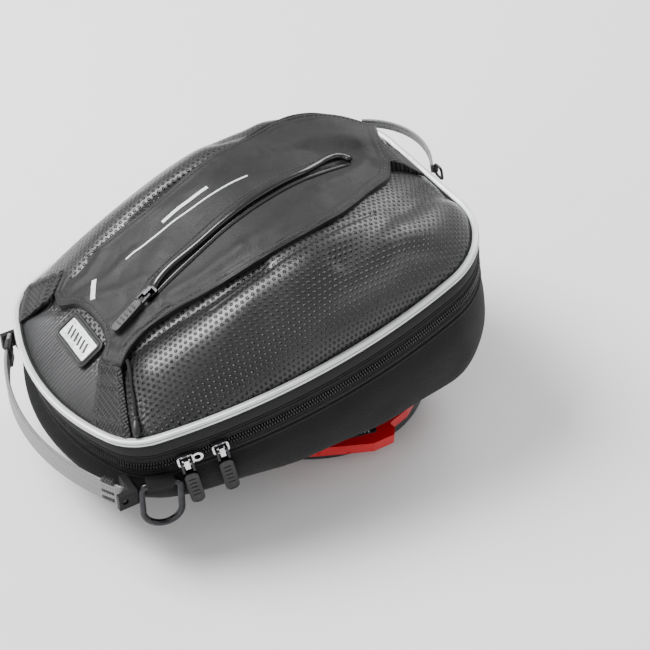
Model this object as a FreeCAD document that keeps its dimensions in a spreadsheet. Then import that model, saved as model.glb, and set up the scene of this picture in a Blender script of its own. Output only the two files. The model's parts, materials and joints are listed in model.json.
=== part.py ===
"""Motorcycle tank bag: a domed, zipped bag on a quick-release tank ring.

Frame: millimetres, +X to the wide end (the rider's end), +Y left, +Z up. The origin is the centre of the
tank ring's lower face. The lid's rim lies in a plane tilted about Y, with the wide end higher. The lid's
pieces are drawn in that plane (u along it, v across it, w out of it) and then placed.
"""
import FreeCAD, Part
import math
import os

import Sketcher
from FreeCAD import Matrix, Placement, Rotation, Vector

os.makedirs("parts", exist_ok=True)
doc = FreeCAD.newDocument("tank_bag")
sheet = doc.addObject("Spreadsheet::Sheet", "Sizes")

SIZES = {
    # rim outline: four tangent arcs a side, from the narrow end's middle to the straight wide end
    "narrow_radius": 154.4, "narrow_sweep": 24.3,
    "front_corner_radius": 36.0, "front_corner_sweep": 49.2,
    "side_radius": 403.0, "side_sweep": 28.5,
    "rear_corner_radius": 53.5,
    "rim_tilt": 10.8, "rim_centre_x": -48.0, "rim_centre_z": 108.0,
    # lid
    "crown": 49.0, "crest_shift": 20.0, "shell_wall": 2.6, "lining_wall": 0.8, "panel_wall": 2.2,
    "piping_radius": 2.2, "fit_gap": 0.4,
    "band_top": -2.6, "band_bottom": -13.0, "band_wall": 1.6,
    "zip_line": -22.0, "tape_wall": 1.4, "coil_half": 2.6, "coil_wall": 3.0, "tape_end": -31.0,
    # bag body
    "body_depth": 80.0, "body_wall": 2.5, "board_wall": 2.0,
    # tank ring
    "ring_radius": 78.0, "groove_outer": 62.5, "spigot_radius": 56.0, "spigot_bore": 45.0,
    "ring_depth": 9.0, "plate_radius": 76.0, "plate_wall": 4.0, "plate_top": 27.7,
    "ear_x": 69.0, "ear_y": 46.0, "ear_radius": 8.5, "screw_radius": 2.5, "screw_head": 5.0,
    "cap_radius": 34.0, "cap_wall": 3.0,
    "lever_low": 10.4, "lever_wall": 7.0, "lever_tip": 90.0, "lever_arm_x": 58.0, "lever_arm_y": 52.0,
    "lug_reach": 59.6, "lug_wide": 12.0,
    # hardware
    "slider_long": 10.0, "slider_wide": 8.0, "slider_wall": 2.2, "pull_long": 34.0, "pull_wide": 8.5,
    "pull_wall": 2.4, "eye_radius": 2.0, "eye_wall": 1.5, "eye_thick": 2.0,
    "dring_wide": 27.0, "dring_high": 36.0, "dring_wire": 2.0, "tab_wide": 16.0, "tab_wall": 2.4,
    "handle_wide": 15.0, "handle_wall": 2.2, "handle_reach": 149.0, "handle_half": 80.0,
    "badge_long": 38.0, "badge_wide": 20.0,
}
for line, (alias, value) in enumerate(SIZES.items(), start=1):
    sheet.set(f"A{line}", alias)
    sheet.set(f"B{line}", str(value))
    sheet.setAlias(f"B{line}", alias)
doc.recompute()


def size(alias):
    return float(getattr(sheet, alias))


PARTS = []
GAP = size("fit_gap")
UP = Vector(0, 0, 1)
ACROSS = Vector(0, 1, 0)
WORLD = Placement()
BAG = Placement(Vector(size("rim_centre_x"), 0, size("rim_centre_z")), Rotation())
LID = Placement(Vector(size("rim_centre_x"), 0, size("rim_centre_z")), Rotation(ACROSS, -size("rim_tilt")))


def keep(obj, label):
    """Name a finished object as one of the kit's pieces."""
    obj.Label = label
    PARTS.append(obj)
    return obj


def piece(label, shape, placement=WORLD):
    """A piece whose shape is worked out in code, drawn in the frame that its Placement moves."""
    obj = doc.addObject("Part::Feature", label)
    obj.Shape = shape
    obj.Placement = placement
    return keep(obj, label)


# ---------------------------------------------------------------- rim outline and its offsets

def around(centre, radius, degrees):
    """The point that a path with this heading passes, turning left about centre."""
    angle = math.radians(degrees)
    return centre + radius * Vector(math.sin(angle), -math.cos(angle), 0)


def half_rim(inset):
    """One side's arcs as point triples, from the narrow end's middle to the straight wide end."""
    sweeps = [size("narrow_sweep"), size("front_corner_sweep"), size("side_sweep")]
    sweeps.append(180.0 - sum(sweeps))
    radii = [size("narrow_radius"), size("front_corner_radius"),
             size("side_radius"), size("rear_corner_radius")]
    start = Vector(inset, 0, 0)
    heading = -90.0
    arcs = []
    for full_radius, sweep in zip(radii, sweeps):
        radius = full_radius - inset
        centre = start - (around(start, radius, heading) - start)
        end = around(centre, radius, heading + sweep)
        arcs.append((start, around(centre, radius, heading + sweep / 2), end))
        start = end
        heading += sweep
    return arcs


def mirrored(point):
    """The same point on the far side."""
    return Vector(point.x, -point.y, point.z)


RIM_HALF_LENGTH = half_rim(0)[-1][2].x / 2


def rim_wire(inset=0.0, level=0.0):
    """The rim's closed outline about its own centre, moved in by inset, at height level."""
    arcs = half_rim(inset)
    edges = [Part.Arc(*arc).toShape() for arc in arcs]
    edges.append(Part.LineSegment(arcs[-1][2], mirrored(arcs[-1][2])).toShape())
    for start, middle, end in reversed(arcs):
        edges.append(Part.Arc(mirrored(end), mirrored(middle), mirrored(start)).toShape())
    wire = Part.Wire(edges)
    wire.translate(Vector(-RIM_HALF_LENGTH, 0, level))
    return wire


RIM_HALF_WIDTH = rim_wire().BoundBox.YLength / 2


def rim_ring(outer_inset, wall, low, high):
    """An upright band that follows the rim."""
    outer = Part.Face(rim_wire(outer_inset, low)).extrude(UP * (high - low))
    inner = Part.Face(rim_wire(outer_inset + wall, low)).extrude(UP * (high - low))
    return outer.cut(inner)


def stretched_rim(narrow_end, wide_end, half_width, tilt, level):
    """The rim's outline stretched to these ends and this half width, tilted about Y, at height level."""
    stretch = Matrix()
    stretch.scale((wide_end - narrow_end) / (2 * RIM_HALF_LENGTH), half_width / RIM_HALF_WIDTH, 1)
    wire = rim_wire().transformGeometry(stretch)
    wire.translate(Vector((wide_end + narrow_end) / 2, 0, 0))
    wire.rotate(Vector(), ACROSS, -tilt)
    wire.translate(Vector(0, 0, level))
    return wire


# ---------------------------------------------------------------- lid, in the rim's plane

DOME_LEVELS = (0, 0.14, 0.3, 0.46, 0.62, 0.76, 0.88, 0.96, 0.995)


def dome(grow):
    """The lid's dome as a closed solid on the rim plane, grown outwards by grow.

    Each level is the rim's outline pulled in towards the crest: slowly at the sides, faster at the ends.
    """
    crest = size("crest_shift")
    ends = RIM_HALF_LENGTH + grow
    sections = []
    for level in DOME_LEVELS:
        narrow = (1 - level**1.1) ** (1 / 1.5)
        wide = (1 - level**1.4) ** (1 / 1.7)
        side = (1 - level**1.55) ** (1 / 5.5)
        sections.append(stretched_rim(crest - (crest + ends) * narrow, crest + (ends - crest) * wide,
                                      (RIM_HALF_WIDTH + grow) * side, 0, (size("crown") + grow) * level))
    return Part.makeLoft(sections, True, True)


def skin(low, high):
    """The layer between two growths of the dome."""
    return dome(high).cut(dome(low))


def prism(points, corner):
    """An upright prism on a rounded polygon of (u, v) points, tall enough to cut through the lid."""
    wire = Part.makePolygon([Vector(u, v, -1) for u, v in points + points[:1]])
    solid = Part.Face(wire).extrude(UP * 2 * size("crown"))
    uprights = [edge for edge in solid.Edges if abs(edge.tangentAt(edge.FirstParameter).z) > 0.9]
    return solid.makeFillet(corner, uprights)


def on_skin(layer, points, corner=4.0):
    return layer.common(prism(points, corner))


def lid_height(solid, u, v):
    """How high a solid's top is above the rim plane at (u, v)."""
    probe = Part.makeLine(Vector(u, v, -1), Vector(u, v, 2 * size("crown")))
    return probe.common(solid).BoundBox.ZMax


def resting_on_lid(solid, u, v, lift, turn=0.0):
    """A Placement on the solid's surface at (u, v): Z along its normal, X turned from u by turn."""
    reach = 6.0
    along = Vector(2 * reach, 0, lid_height(solid, u + reach, v) - lid_height(solid, u - reach, v))
    across = Vector(0, 2 * reach, lid_height(solid, u, v + reach) - lid_height(solid, u, v - reach))
    normal = along.cross(across).normalize()
    point = Vector(u, v, lid_height(solid, u, v)) + normal * lift
    return LID.multiply(Placement(point, Rotation(along, Vector(), normal, "ZXY"))
                        .multiply(Placement(Vector(), Rotation(UP, turn))))


SHELL_INSET = size("piping_radius") + GAP
PANEL_LOW = GAP - SHELL_INSET
PANEL_HIGH = PANEL_LOW + size("panel_wall")


def upright_edges(solid):
    """The edges that run along Z, in the frame the solid is drawn in."""
    return [edge for edge in solid.Edges if abs(edge.tangentAt(edge.FirstParameter).z) > 0.9]


def centred_box(long, wide, high, x=0.0, y=0.0, z=0.0):
    """A box with its middle at (x, y) and its foot at z."""
    return Part.makeBox(long, wide, high, Vector(x - long / 2, y - wide / 2, z))


def make_lid():
    """The lid's dished shell, its cloth lining, the piping round its edge and the band below."""
    outer = dome(-SHELL_INSET)
    inner = dome(-SHELL_INSET - size("shell_wall"))
    piece("lid_shell", outer.cut(inner), LID)
    lining_out = -SHELL_INSET - size("shell_wall") - GAP
    piece("lid_lining", skin(lining_out - size("lining_wall"), lining_out), LID)
    rim = rim_wire()
    start = rim.Vertexes[0].Point
    section = Part.Wire(Part.makeCircle(size("piping_radius"), start, ACROSS))
    piping = Part.Wire(rim.Edges).makePipeShell([section], True, True)
    piece("lid_piping", piping, LID)
    piece("lid_band", rim_ring(0.4, size("band_wall"), size("band_bottom"), size("band_top")), LID)
    return outer


def make_zip():
    """The zip's two halves, each a tape and a coil, parted at the zip line, and the hinge cloth."""
    line = size("zip_line")
    split = 0.15
    tape_gap = 0.2
    for name, edge, side in (("zip_upper", size("band_bottom"), 1), ("zip_lower", size("tape_end"), -1)):
        near = line + side * split
        far = line + side * size("coil_half")
        end = edge - side * tape_gap
        tape = rim_ring(0.8, size("tape_wall"), min(far, end), max(far, end))
        coil = rim_ring(0.2, size("coil_wall"), min(near, far), max(near, far))
        piece(name, tape.fuse(coil), LID)
    hinge_half, hinge_high, hinge_wall, hinge_inset = 36.0, 15.0, 1.0, 5.2
    hinge = Part.makeBox(hinge_wall, 2 * hinge_half, hinge_high,
                         Vector(RIM_HALF_LENGTH - hinge_inset, -hinge_half, size("tape_end") + 1))
    piece("hinge_strip", hinge, LID)


def make_panel():
    """The pocket panel with its two front legs and rear tab, and the parts sewn onto it."""
    layer = skin(PANEL_LOW, PANEL_HIGH)
    slit_start, slit_end, slit_half = Vector(-56, -12, 0), Vector(88, 5, 0), 1.5
    along = (slit_end - slit_start).normalize()
    side = UP.cross(along) * slit_half
    outline = [(-94, -22), (-104, -22), (-97, -36), (-80, -29), (-34, -38), (30, -45), (56, -41), (106, -18),
               (113, -4), (127, 33), (104, 47), (72, 59), (30, 55), (-30, 47), (-86, 57), (-101, 47),
               (-94, 24)]
    slit = [tuple(p)[:2] for p in (slit_start - side, slit_end - side, slit_end + side, slit_start + side)]
    piece("pocket_panel", on_skin(layer, outline, 3.0).cut(prism(slit, 1.0)), LID)
    straps = {
        "strap_front_near": [(-105, -22.5), (-98, -36.5), (-115, -75), (-131, -50)],
        "strap_front_far": [(-102, 47.5), (-87, 57.5), (-110, 80), (-129, 53)],
        "strap_rear": [(114.5, -3.5), (133, -10), (133.5, 24), (125.5, 25)],
    }
    for name, corners in straps.items():
        piece(name, on_skin(layer, corners, 1.0), LID)
    return dome(PANEL_HIGH)


def make_badge(surface):
    """A rubber frame with a plain metal plate set in it, at the narrow end."""
    place = resting_on_lid(surface, -106, 2, 0.6)
    long, wide = size("badge_long"), size("badge_wide")
    rim, deep, floor = 2.6, 2.6, 1.0
    frame = Part.makeBox(wide, long, deep, Vector(-wide / 2, -long / 2, 0))
    frame = frame.makeFillet(3.0, upright_edges(frame))
    well = Part.makeBox(wide - 2 * rim, long - 2 * rim, deep, Vector(-wide / 2 + rim, -long / 2 + rim, floor))
    piece("badge_frame", frame.cut(well), place)
    plate = Part.makeBox(wide - 2 * rim - 2 * GAP, long - 2 * rim - 2 * GAP, deep - floor - 0.4,
                         Vector(-wide / 2 + rim + GAP, -long / 2 + rim + GAP, floor + 0.1))
    plate = plate.makeFillet(1.2, upright_edges(plate))
    piece("badge_plate", plate, place)


# ---------------------------------------------------------------- bag body

def body_solid(inset, floor_rise):
    """The bag's lofted tub as a closed solid: a tilted mouth, a bulge at the wide end and a flat floor."""
    ends = RIM_HALF_LENGTH - inset
    half = RIM_HALF_WIDTH - inset
    depth = size("body_depth") - floor_rise
    seam = 0.8
    mouth = stretched_rim(seam - ends, ends - seam, half - seam, 0, size("tape_end"))
    mouth.rotate(Vector(), ACROSS, -size("rim_tilt"))
    sections = [mouth]
    # each: narrow end moved in, wide end and sides moved out, the section's tilt, share of the depth
    for narrow_in, wide_out, side_out, lean, share in (
            (1, 8, 2, 7.5, 0.58), (6, 10, 0, 4.5, 0.75), (14, 6, -5, 1.8, 0.90),
            (24, -3, -13, 0.6, 0.975), (36, -14, -24, 0.0, 1.0)):
        level = -depth * share
        sections.append(stretched_rim(narrow_in - ends, ends + wide_out, half + side_out, lean, level))
    return Part.makeLoft(sections, True, True)


def make_body():
    """The bag's fabric tub and the stiff board on its floor, both drilled for the ring's screws."""
    wall = size("body_wall")
    tub = body_solid(0, 0)
    bottom = -size("body_depth")
    screw_play, board_lift = 0.2, 0.2
    spots = [Vector(sx * size("ear_x"), sy * size("ear_y"), bottom - 1) - BAG.Base.x * Vector(1, 0, 0)
             for sx in (-1, 1) for sy in (-1, 1)]
    holes = [Part.makeCylinder(size("screw_radius") + screw_play, 3 * wall, spot) for spot in spots]
    piece("body_shell", tub.cut([body_solid(wall, wall)] + holes), BAG)
    narrow_in, wide_in, side_in = 44, 22, 32
    outline = stretched_rim(narrow_in - RIM_HALF_LENGTH, RIM_HALF_LENGTH - wide_in,
                            RIM_HALF_WIDTH - side_in, 0, bottom + wall + board_lift)
    board = Part.Face(outline).extrude(UP * size("board_wall"))
    piece("base_board", board.cut(holes), BAG)
    return tub


# ---------------------------------------------------------------- tank ring, drawn about the origin

def bound(obj, **expressions):
    """Bind an object's properties to expressions on the sheet's cells."""
    for prop, expression in expressions.items():
        obj.setExpression(prop.replace("_", "."), expression)
    return obj


def disc(radius, low, high, x="0", y="0"):
    """A Part cylinder whose radius, height and place are expressions."""
    obj = doc.addObject("Part::Cylinder", "disc")
    return bound(obj, Radius=radius, Height=f"({high}) - ({low})",
                 Placement_Base_x=x, Placement_Base_y=y, Placement_Base_z=low)


def block(long, wide, x, y, low, high):
    """A Part box centred on (x, y), its sizes and place expressions."""
    obj = doc.addObject("Part::Box", "block")
    return bound(obj, Length=long, Width=wide, Height=f"({high}) - ({low})",
                 Placement_Base_x=f"({x}) - ({long}) / 2", Placement_Base_y=f"({y}) - ({wide}) / 2",
                 Placement_Base_z=low)


def joined(objects):
    fuse = doc.addObject("Part::MultiFuse", "joined")
    fuse.Shapes = objects
    return fuse


def less(base, tools):
    cut = doc.addObject("Part::Cut", "less")
    cut.Base = base
    cut.Tool = tools[0] if len(tools) == 1 else joined(tools)
    return cut


def at_ears(make):
    """One object for each of the plate's four ears, given its x and y as expressions."""
    return [make(f"{sx} * Sizes.ear_x", f"{sy} * Sizes.ear_y") for sx in (-1, 1) for sy in (-1, 1)]


def revolved(label, corners):
    """A PartDesign body: a ring turned about Z from (radius, height) corners given as expressions."""
    body = doc.addObject("PartDesign::Body", label)
    plane = [f for f in body.Origin.OriginFeatures if f.Role == "XZ_Plane"][0]
    sketch = body.newObject("Sketcher::SketchObject", label + "_profile")
    sketch.AttachmentSupport = [(plane, "")]
    sketch.MapMode = "FlatFace"
    doc.recompute()
    points = [Vector(*(float(sheet.evalExpression(e)) for e in corner), 0) for corner in corners]
    count = len(points)
    for index in range(count):
        sketch.addGeometry(Part.LineSegment(points[index], points[(index + 1) % count]), False)
    for index in range(count):
        sketch.addConstraint(Sketcher.Constraint("Coincident", index, 2, (index + 1) % count, 1))
        for axis, expression in zip("XY", corners[index]):
            value = points[index].x if axis == "X" else points[index].y
            number = sketch.addConstraint(Sketcher.Constraint("Distance" + axis, -1, 1, index, 1, value))
            sketch.setExpression(f"Constraints[{number}]", expression)
    turn = body.newObject("PartDesign::Revolution", label + "_turn")
    turn.Profile = sketch
    turn.ReferenceAxis = (sketch, ["V_Axis"])
    turn.Angle = 360
    return body


def make_tank_ring():
    """The plate under the bag, the two rings and lever below it, and the screws and nuts."""
    plate_low = "Sizes.plate_top - Sizes.plate_wall"
    plate = joined([disc("Sizes.plate_radius", plate_low, "Sizes.plate_top")]
                   + at_ears(lambda x, y: disc("Sizes.ear_radius", plate_low, "Sizes.plate_top", x, y)))
    holes = at_ears(lambda x, y: disc("Sizes.screw_radius + 0.2", plate_low, "Sizes.plate_top", x, y))
    keep(less(plate, holes), "flange_plate")
    make_outer_ring()
    make_spigot()
    make_lever()
    screws, nuts = [], []
    low = size("plate_top") - size("plate_wall")
    head = 2.6
    board_top = size("rim_centre_z") - size("body_depth") + size("body_wall") + size("board_wall") + 0.2
    for sx in (-1, 1):
        for sy in (-1, 1):
            foot = Vector(sx * size("ear_x"), sy * size("ear_y"), low - 0.1)
            shank = Part.makeCylinder(size("screw_radius"), board_top + 3.4 - foot.z, foot)
            dome_head = Part.makeCylinder(size("screw_head"), head, foot - UP * head)
            dome_head = dome_head.makeFillet(1.2, [dome_head.Edges[2]])
            screws.append(shank.fuse(dome_head))
            nut_foot = foot + UP * (board_top + 0.2 - foot.z)
            bore = Part.makeCylinder(size("screw_radius") + 0.05, 9.0, nut_foot - UP)
            nuts.append(Part.makeCylinder(4.0, 3.0, nut_foot).cut(bore))
    piece("flange_screws", Part.makeCompound(screws))
    piece("flange_nuts", Part.makeCompound(nuts))


def make_outer_ring():
    """The lower ring and its upright wall, with a window in the wall for the lever's arms."""
    ring = revolved("outer_ring_blank", [
        ("Sizes.groove_outer", "0"), ("Sizes.ring_radius - 1.5", "0"), ("Sizes.ring_radius", "1.5"),
        ("Sizes.ring_radius", "Sizes.ring_depth"), ("Sizes.ring_radius - 3", "Sizes.ring_depth + 0.5"),
        ("Sizes.ring_radius - 4", "Sizes.plate_top - Sizes.plate_wall - 0.1"),
        ("Sizes.ring_radius - 7", "Sizes.plate_top - Sizes.plate_wall - 0.1"),
        ("Sizes.ring_radius - 7", "Sizes.ring_depth"), ("Sizes.groove_outer", "Sizes.ring_depth")])
    window = block("2 * (Sizes.lever_arm_x + 13)", "Sizes.ring_radius", "0", "-Sizes.ring_radius * 0.86",
                   "Sizes.ring_depth + 0.4", "Sizes.plate_top - Sizes.plate_wall - 2.2")
    keep(less(ring, [window]), "outer_ring")


def spigot_notch(degrees, side):
    """A square cutter on the spigot's bore, standing on one corner, degrees round from the front."""
    notch = doc.addObject("Part::Box", "notch")
    notch.Length = side
    notch.Width = side
    notch.setExpression("Height", "Sizes.ring_depth")
    radius = size("spigot_bore") + 0.4
    angle = math.radians(degrees)
    spot = Vector(radius * math.cos(angle), radius * math.sin(angle), 0)
    notch.Placement = Placement(spot, Rotation(UP, degrees + 45), Vector(side / 2, side / 2, 0))
    return notch


def make_spigot():
    """The inner ring that the tank's ring slides over, with notches round its bore, and the cap in it."""
    ring = revolved("spigot_blank", [
        ("Sizes.spigot_bore", "0"), ("Sizes.spigot_radius", "0"),
        ("Sizes.spigot_radius", "Sizes.plate_top - Sizes.plate_wall - 0.1"),
        ("Sizes.spigot_radius - 3", "Sizes.plate_top - Sizes.plate_wall - 0.1"),
        ("Sizes.spigot_radius - 3", "Sizes.ring_depth"), ("Sizes.spigot_bore", "Sizes.ring_depth")])
    first_notch, notch_step, notch_count, notch_side = 75, 25, 7, 5.0
    notches = [spigot_notch(first_notch + index * notch_step, notch_side) for index in range(notch_count)]
    keep(less(ring, notches), "spigot_ring")
    low = "Sizes.ring_depth - 1"
    cup = less(disc("Sizes.spigot_radius - 3.4", low + " + 1.2", "Sizes.plate_top - Sizes.plate_wall - 0.2"),
               [disc("Sizes.spigot_radius - 6", low, "Sizes.plate_top - Sizes.plate_wall - 3")])
    lip = less(disc("Sizes.cap_radius + 3", low, "Sizes.plate_top - Sizes.plate_wall - 2.9"),
               [disc("Sizes.cap_radius", "0", low + " + 3")])
    keep(joined([cup, lip]), "centre_cap")


def make_lever():
    """The red release lever: a ring with four lugs, and arms that meet in a finger tip outside."""
    low = size("lever_low")
    wall = size("lever_wall")
    ring_high, lug_high, ring_play, wall_play = 4.0, 4.0, 0.6, 8.4
    inner, outer = size("groove_outer") + ring_play, size("ring_radius") - wall_play
    ring = Part.makeCylinder(outer, ring_high, Vector(0, 0, low))
    ring = ring.cut(Part.makeCylinder(inner, ring_high, Vector(0, 0, low)))
    arm_x, arm_y, tip = size("lever_arm_x"), size("lever_arm_y"), size("lever_tip")
    corners = [(-arm_x, -arm_y), (-arm_x, -arm_y - 10), (-41, -74), (-24, -82), (-6, -tip), (9, -tip),
               (13, -tip + 5), (12, -tip + 10), (29, -75), (arm_x - 3, -arm_y - 5), (arm_x, -arm_y)]
    wire = Part.makePolygon([Vector(x, y, low) for x, y in corners + corners[:1]])
    arms = Part.Face(wire).extrude(UP * wall)
    tip_edges = [edge for edge in upright_edges(arms) if edge.BoundBox.YMax < -tip + 11]
    arms = arms.makeFillet(2.0, tip_edges)
    arms = arms.cut(Part.makeCylinder(inner, wall, Vector(0, 0, low)))
    lever = ring.fuse(arms)
    for angle in (118, 37, 177, -43):
        lug = Part.makeBox(inner + 2 - size("lug_reach"), size("lug_wide"), lug_high,
                           Vector(size("lug_reach"), -size("lug_wide") / 2, low))
        lug.rotate(Vector(), UP, angle)
        lever = lever.fuse(lug)
    piece("release_lever", lever.removeSplitter())


# ---------------------------------------------------------------- zip sliders, rings, straps and cord

def rim_point(turn):
    """A point of the near side's long arc, turn degrees from its front end, and outwards there."""
    start, middle, end = half_rim(0)[2]
    heading = -90.0 + size("narrow_sweep") + size("front_corner_sweep")
    centre = start - (around(start, size("side_radius"), heading) - start)
    point = around(centre, size("side_radius"), heading + turn)
    outward = (point - centre).normalize()
    return point - Vector(RIM_HALF_LENGTH, 0, 0), outward


def side_place(turn, stand_off, level, mirror=False):
    """A frame on the near or far side: X along the rim, Y up out of the lid, Z straight outwards."""
    point, outward = rim_point(turn)
    if mirror:
        point, outward = mirrored(point), mirrored(outward)
    return Placement(point + outward * stand_off + UP * level, Rotation(Vector(), UP, outward, "ZYX"))


def corner_arc(x, y, radius):
    """A quarter turn that rounds off the corner at (x, y), from the level side to the upright one."""
    bend = radius * (1 - math.sqrt(0.5))
    middle = Vector(x - bend, y - bend, 0)
    return Part.Arc(Vector(x - radius, y, 0), middle, Vector(x, y - radius, 0)).toShape()


def swept_ring(half_path, wire_radius):
    """A closed wire ring from its right half, which starts at the origin heading along X."""
    section = Part.Wire(Part.makeCircle(wire_radius, Vector(), Vector(1, 0, 0)))
    side = Part.Wire(half_path).makePipeShell([section], True, True)
    return side.fuse(side.mirror(Vector(), Vector(1, 0, 0))).removeSplitter()


def slot_ring(wide, high, wire_radius, corner):
    """A rounded rectangular wire ring, its top bar's middle at the origin, hanging down along -Y."""
    half = wide / 2
    bend = corner * (1 - math.sqrt(0.5))
    foot = Part.Arc(Vector(half, corner - high, 0), Vector(half - bend, bend - high, 0),
                    Vector(half - corner, -high, 0)).toShape()
    return swept_ring([
        Part.makeLine(Vector(), Vector(half - corner, 0, 0)),
        corner_arc(half, 0, corner),
        Part.makeLine(Vector(half, -corner, 0), Vector(half, corner - high, 0)),
        foot,
        Part.makeLine(Vector(half - corner, -high, 0), Vector(0, -high, 0))], wire_radius)


def d_ring():
    """A D-ring: straight bar at the top, half round below, drawn like slot_ring."""
    wire = size("dring_wire")
    half = size("dring_wide") / 2 - wire
    low = 2 * wire - size("dring_high")
    corner = 4.0
    diagonal = half * math.sqrt(0.5)
    bow = Part.Arc(Vector(half, low + half, 0), Vector(diagonal, low + half - diagonal, 0),
                   Vector(0, low, 0)).toShape()
    return swept_ring([
        Part.makeLine(Vector(), Vector(half - corner, 0, 0)),
        corner_arc(half, 0, corner),
        Part.makeLine(Vector(half, -corner, 0), Vector(half, low + half, 0)),
        bow], wire)


BAIL_RISE = 1.7


def make_slider(name, turn, eye_side):
    """A zip slider on the near side, with a bail for its pull and, on one, an eye for a padlock."""
    stand = 0.6
    place = side_place(turn, stand, size("zip_line"))
    long, wide, wall = size("slider_long"), size("slider_wide"), size("slider_wall")
    plate = centred_box(long, wide, wall)
    plate = plate.makeFillet(2.0, upright_edges(plate))
    bail_long, bail_wide, bail_high, bore = 3.0, 7.0, 3.6, 1.2
    bail = centred_box(bail_long, bail_wide, bail_high, z=wall)
    bail = bail.cut(Part.makeCylinder(bore, bail_long, Vector(-bail_long / 2, 0, wall + BAIL_RISE),
                                      Vector(1, 0, 0)))
    solid = plate.fuse(bail)
    if eye_side:
        reach = long / 2 + size("eye_radius")
        eye = size("eye_radius")
        outer = Part.makeCylinder(eye + size("eye_wall"), size("eye_thick"), Vector(reach, 0, 0.1))
        hole = Part.makeCylinder(eye, wall + 1, Vector(reach, 0, 0))
        solid = solid.fuse(outer).cut(hole)
    piece(name, solid.removeSplitter(), LID.multiply(place))
    return place


def make_pull(name, slider_place):
    """A moulded zip pull that hangs from the slider's bail on a bar."""
    place = slider_place.multiply(Placement(Vector(0, 0, size("slider_wall") + BAIL_RISE), Rotation()))
    long, wide, wall = size("pull_long"), size("pull_wide"), size("pull_wall")
    bar_radius, bar_long, cheek_wide, cheek_long, cheek_wall, cheek_out = 0.9, 5.0, 1.4, 8.4, 1.8, 3.1
    head = 8.0
    solid = Part.makeCylinder(bar_radius, bar_long, Vector(-bar_long / 2, 0, 0), Vector(1, 0, 0))
    for side in (-1, 1):
        solid = solid.fuse(centred_box(cheek_wide, cheek_long, cheek_wall, side * cheek_out,
                                       bar_radius - cheek_long / 2, -cheek_wall / 2))
    tab = centred_box(wide, long - head, wall, 0, -(long + head) / 2, -wall / 2)
    tab = tab.makeFillet(3.4, upright_edges(tab))
    piece(name, solid.fuse(tab).removeSplitter(), place)


def make_tabs_and_rings(tub):
    """A webbing tab on each front side, and the D-ring that swings in its loop."""
    bore = size("dring_wire") + 0.35
    loop = bore + 1.7
    stand_off, level, strap_high = 25.0, -50.0, 6.5
    wide = size("tab_wide")
    along = Vector(1, 0, 0)
    start = Vector(-wide / 2, 0, 0)
    for name, mirror in (("near", False), ("far", True)):
        gap = Part.Vertex(side_place(0, stand_off, level, mirror).Base).distToShape(tub)[0]
        place = BAG.multiply(side_place(0, stand_off - gap + loop + 3 * GAP, level, mirror))
        piece("d_ring_" + name, d_ring(), place)
        tube = Part.makeCylinder(loop, wide, start, along)
        strap = centred_box(wide, strap_high, size("tab_wall") - 0.4, 0, -strap_high / 2, -loop)
        tab = tube.fuse(strap).cut(Part.makeCylinder(bore, wide, start, along))
        piece("ring_tab_" + name, tab.removeSplitter(), place)


def bent_strap(ends, apex, wall, wide):
    """An upright strap on the arc through its two ends and its apex, drawn from level 0 up."""
    circle = Part.Arc(ends[0], apex, ends[1]).toShape().Curve
    centre, radius = circle.Center, circle.Radius
    edges = []
    for shift in (0, wall):
        spots = [centre + (p - centre).normalize() * (radius - shift) for p in (ends[0], apex, ends[1])]
        edges.append((spots, Part.Arc(*spots).toShape()))
    sides = [Part.makeLine(edges[0][0][k], edges[1][0][k]) for k in (0, 2)]
    wire = Part.Wire([edges[0][1], sides[1], edges[1][1], sides[0]])
    return Part.Face(wire).extrude(UP * wide)


def make_handle():
    """The carry strap across the narrow end, hung between two sewn anchors."""
    half, reach, wide = size("handle_half"), size("handle_reach"), size("handle_wide")
    end_x, level = -124.5, -64.0
    pin_radius, pin_hole, pin_out = 1.6, 2.0, 3.5
    ends = [Vector(end_x, -half, level), Vector(end_x, half, level)]
    strap = bent_strap(ends, Vector(-reach, 0, level), size("handle_wall"), wide)
    pin_line = Vector(end_x, -half - pin_out, level + wide / 2)
    pin = Part.makeCylinder(pin_radius, 2 * (half + pin_out), pin_line, ACROSS)
    middle = centred_box(40, 2 * half - 3, 40, end_x, 0, level - 20)
    piece("front_handle", strap.fuse(pin.cut(middle)), BAG)
    cheek, high, plate_long, leg_long, play = 3.2, 11.0, 12.0, 4.0, 0.8
    low = level + (wide - high) / 2
    for name, side in (("near", -1), ("far", 1)):
        inner_y = side * (half + play)
        cheek_y = min(inner_y, inner_y + side * cheek)
        plate = Part.makeBox(plate_long, cheek, high, Vector(end_x - leg_long, cheek_y, low))
        leg_y = min(inner_y + side * cheek, side * (half - 12))
        leg = Part.makeBox(leg_long, 12 + play + cheek, high, Vector(end_x + leg_long, leg_y, low))
        hole = Part.makeCylinder(pin_hole, 20, Vector(end_x, cheek_y - 5, level + wide / 2), ACROSS)
        anchor = plate.fuse(leg).cut(hole).cut(TUB)
        piece("handle_anchor_" + name, anchor.removeSplitter(), BAG)


def make_rear_strap():
    """The thin strap at the wide end of the lid, from the far corner to a small ring in the middle."""
    low, wall, wide = 1.5, 1.6, 7.0
    ends = [Vector(133, 63, low), Vector(141.5, -6, low)]
    piece("rear_strap", bent_strap(ends, Vector(151, 29, low), wall, wide), LID)
    ring = slot_ring(7.0, 9.0, 0.9, 2.0)
    turned = Rotation(ACROSS, UP, Vector(1, 0, 0))
    piece("rear_ring", ring, LID.multiply(Placement(Vector(142.6, -10.8, 9.5), turned)))


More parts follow.
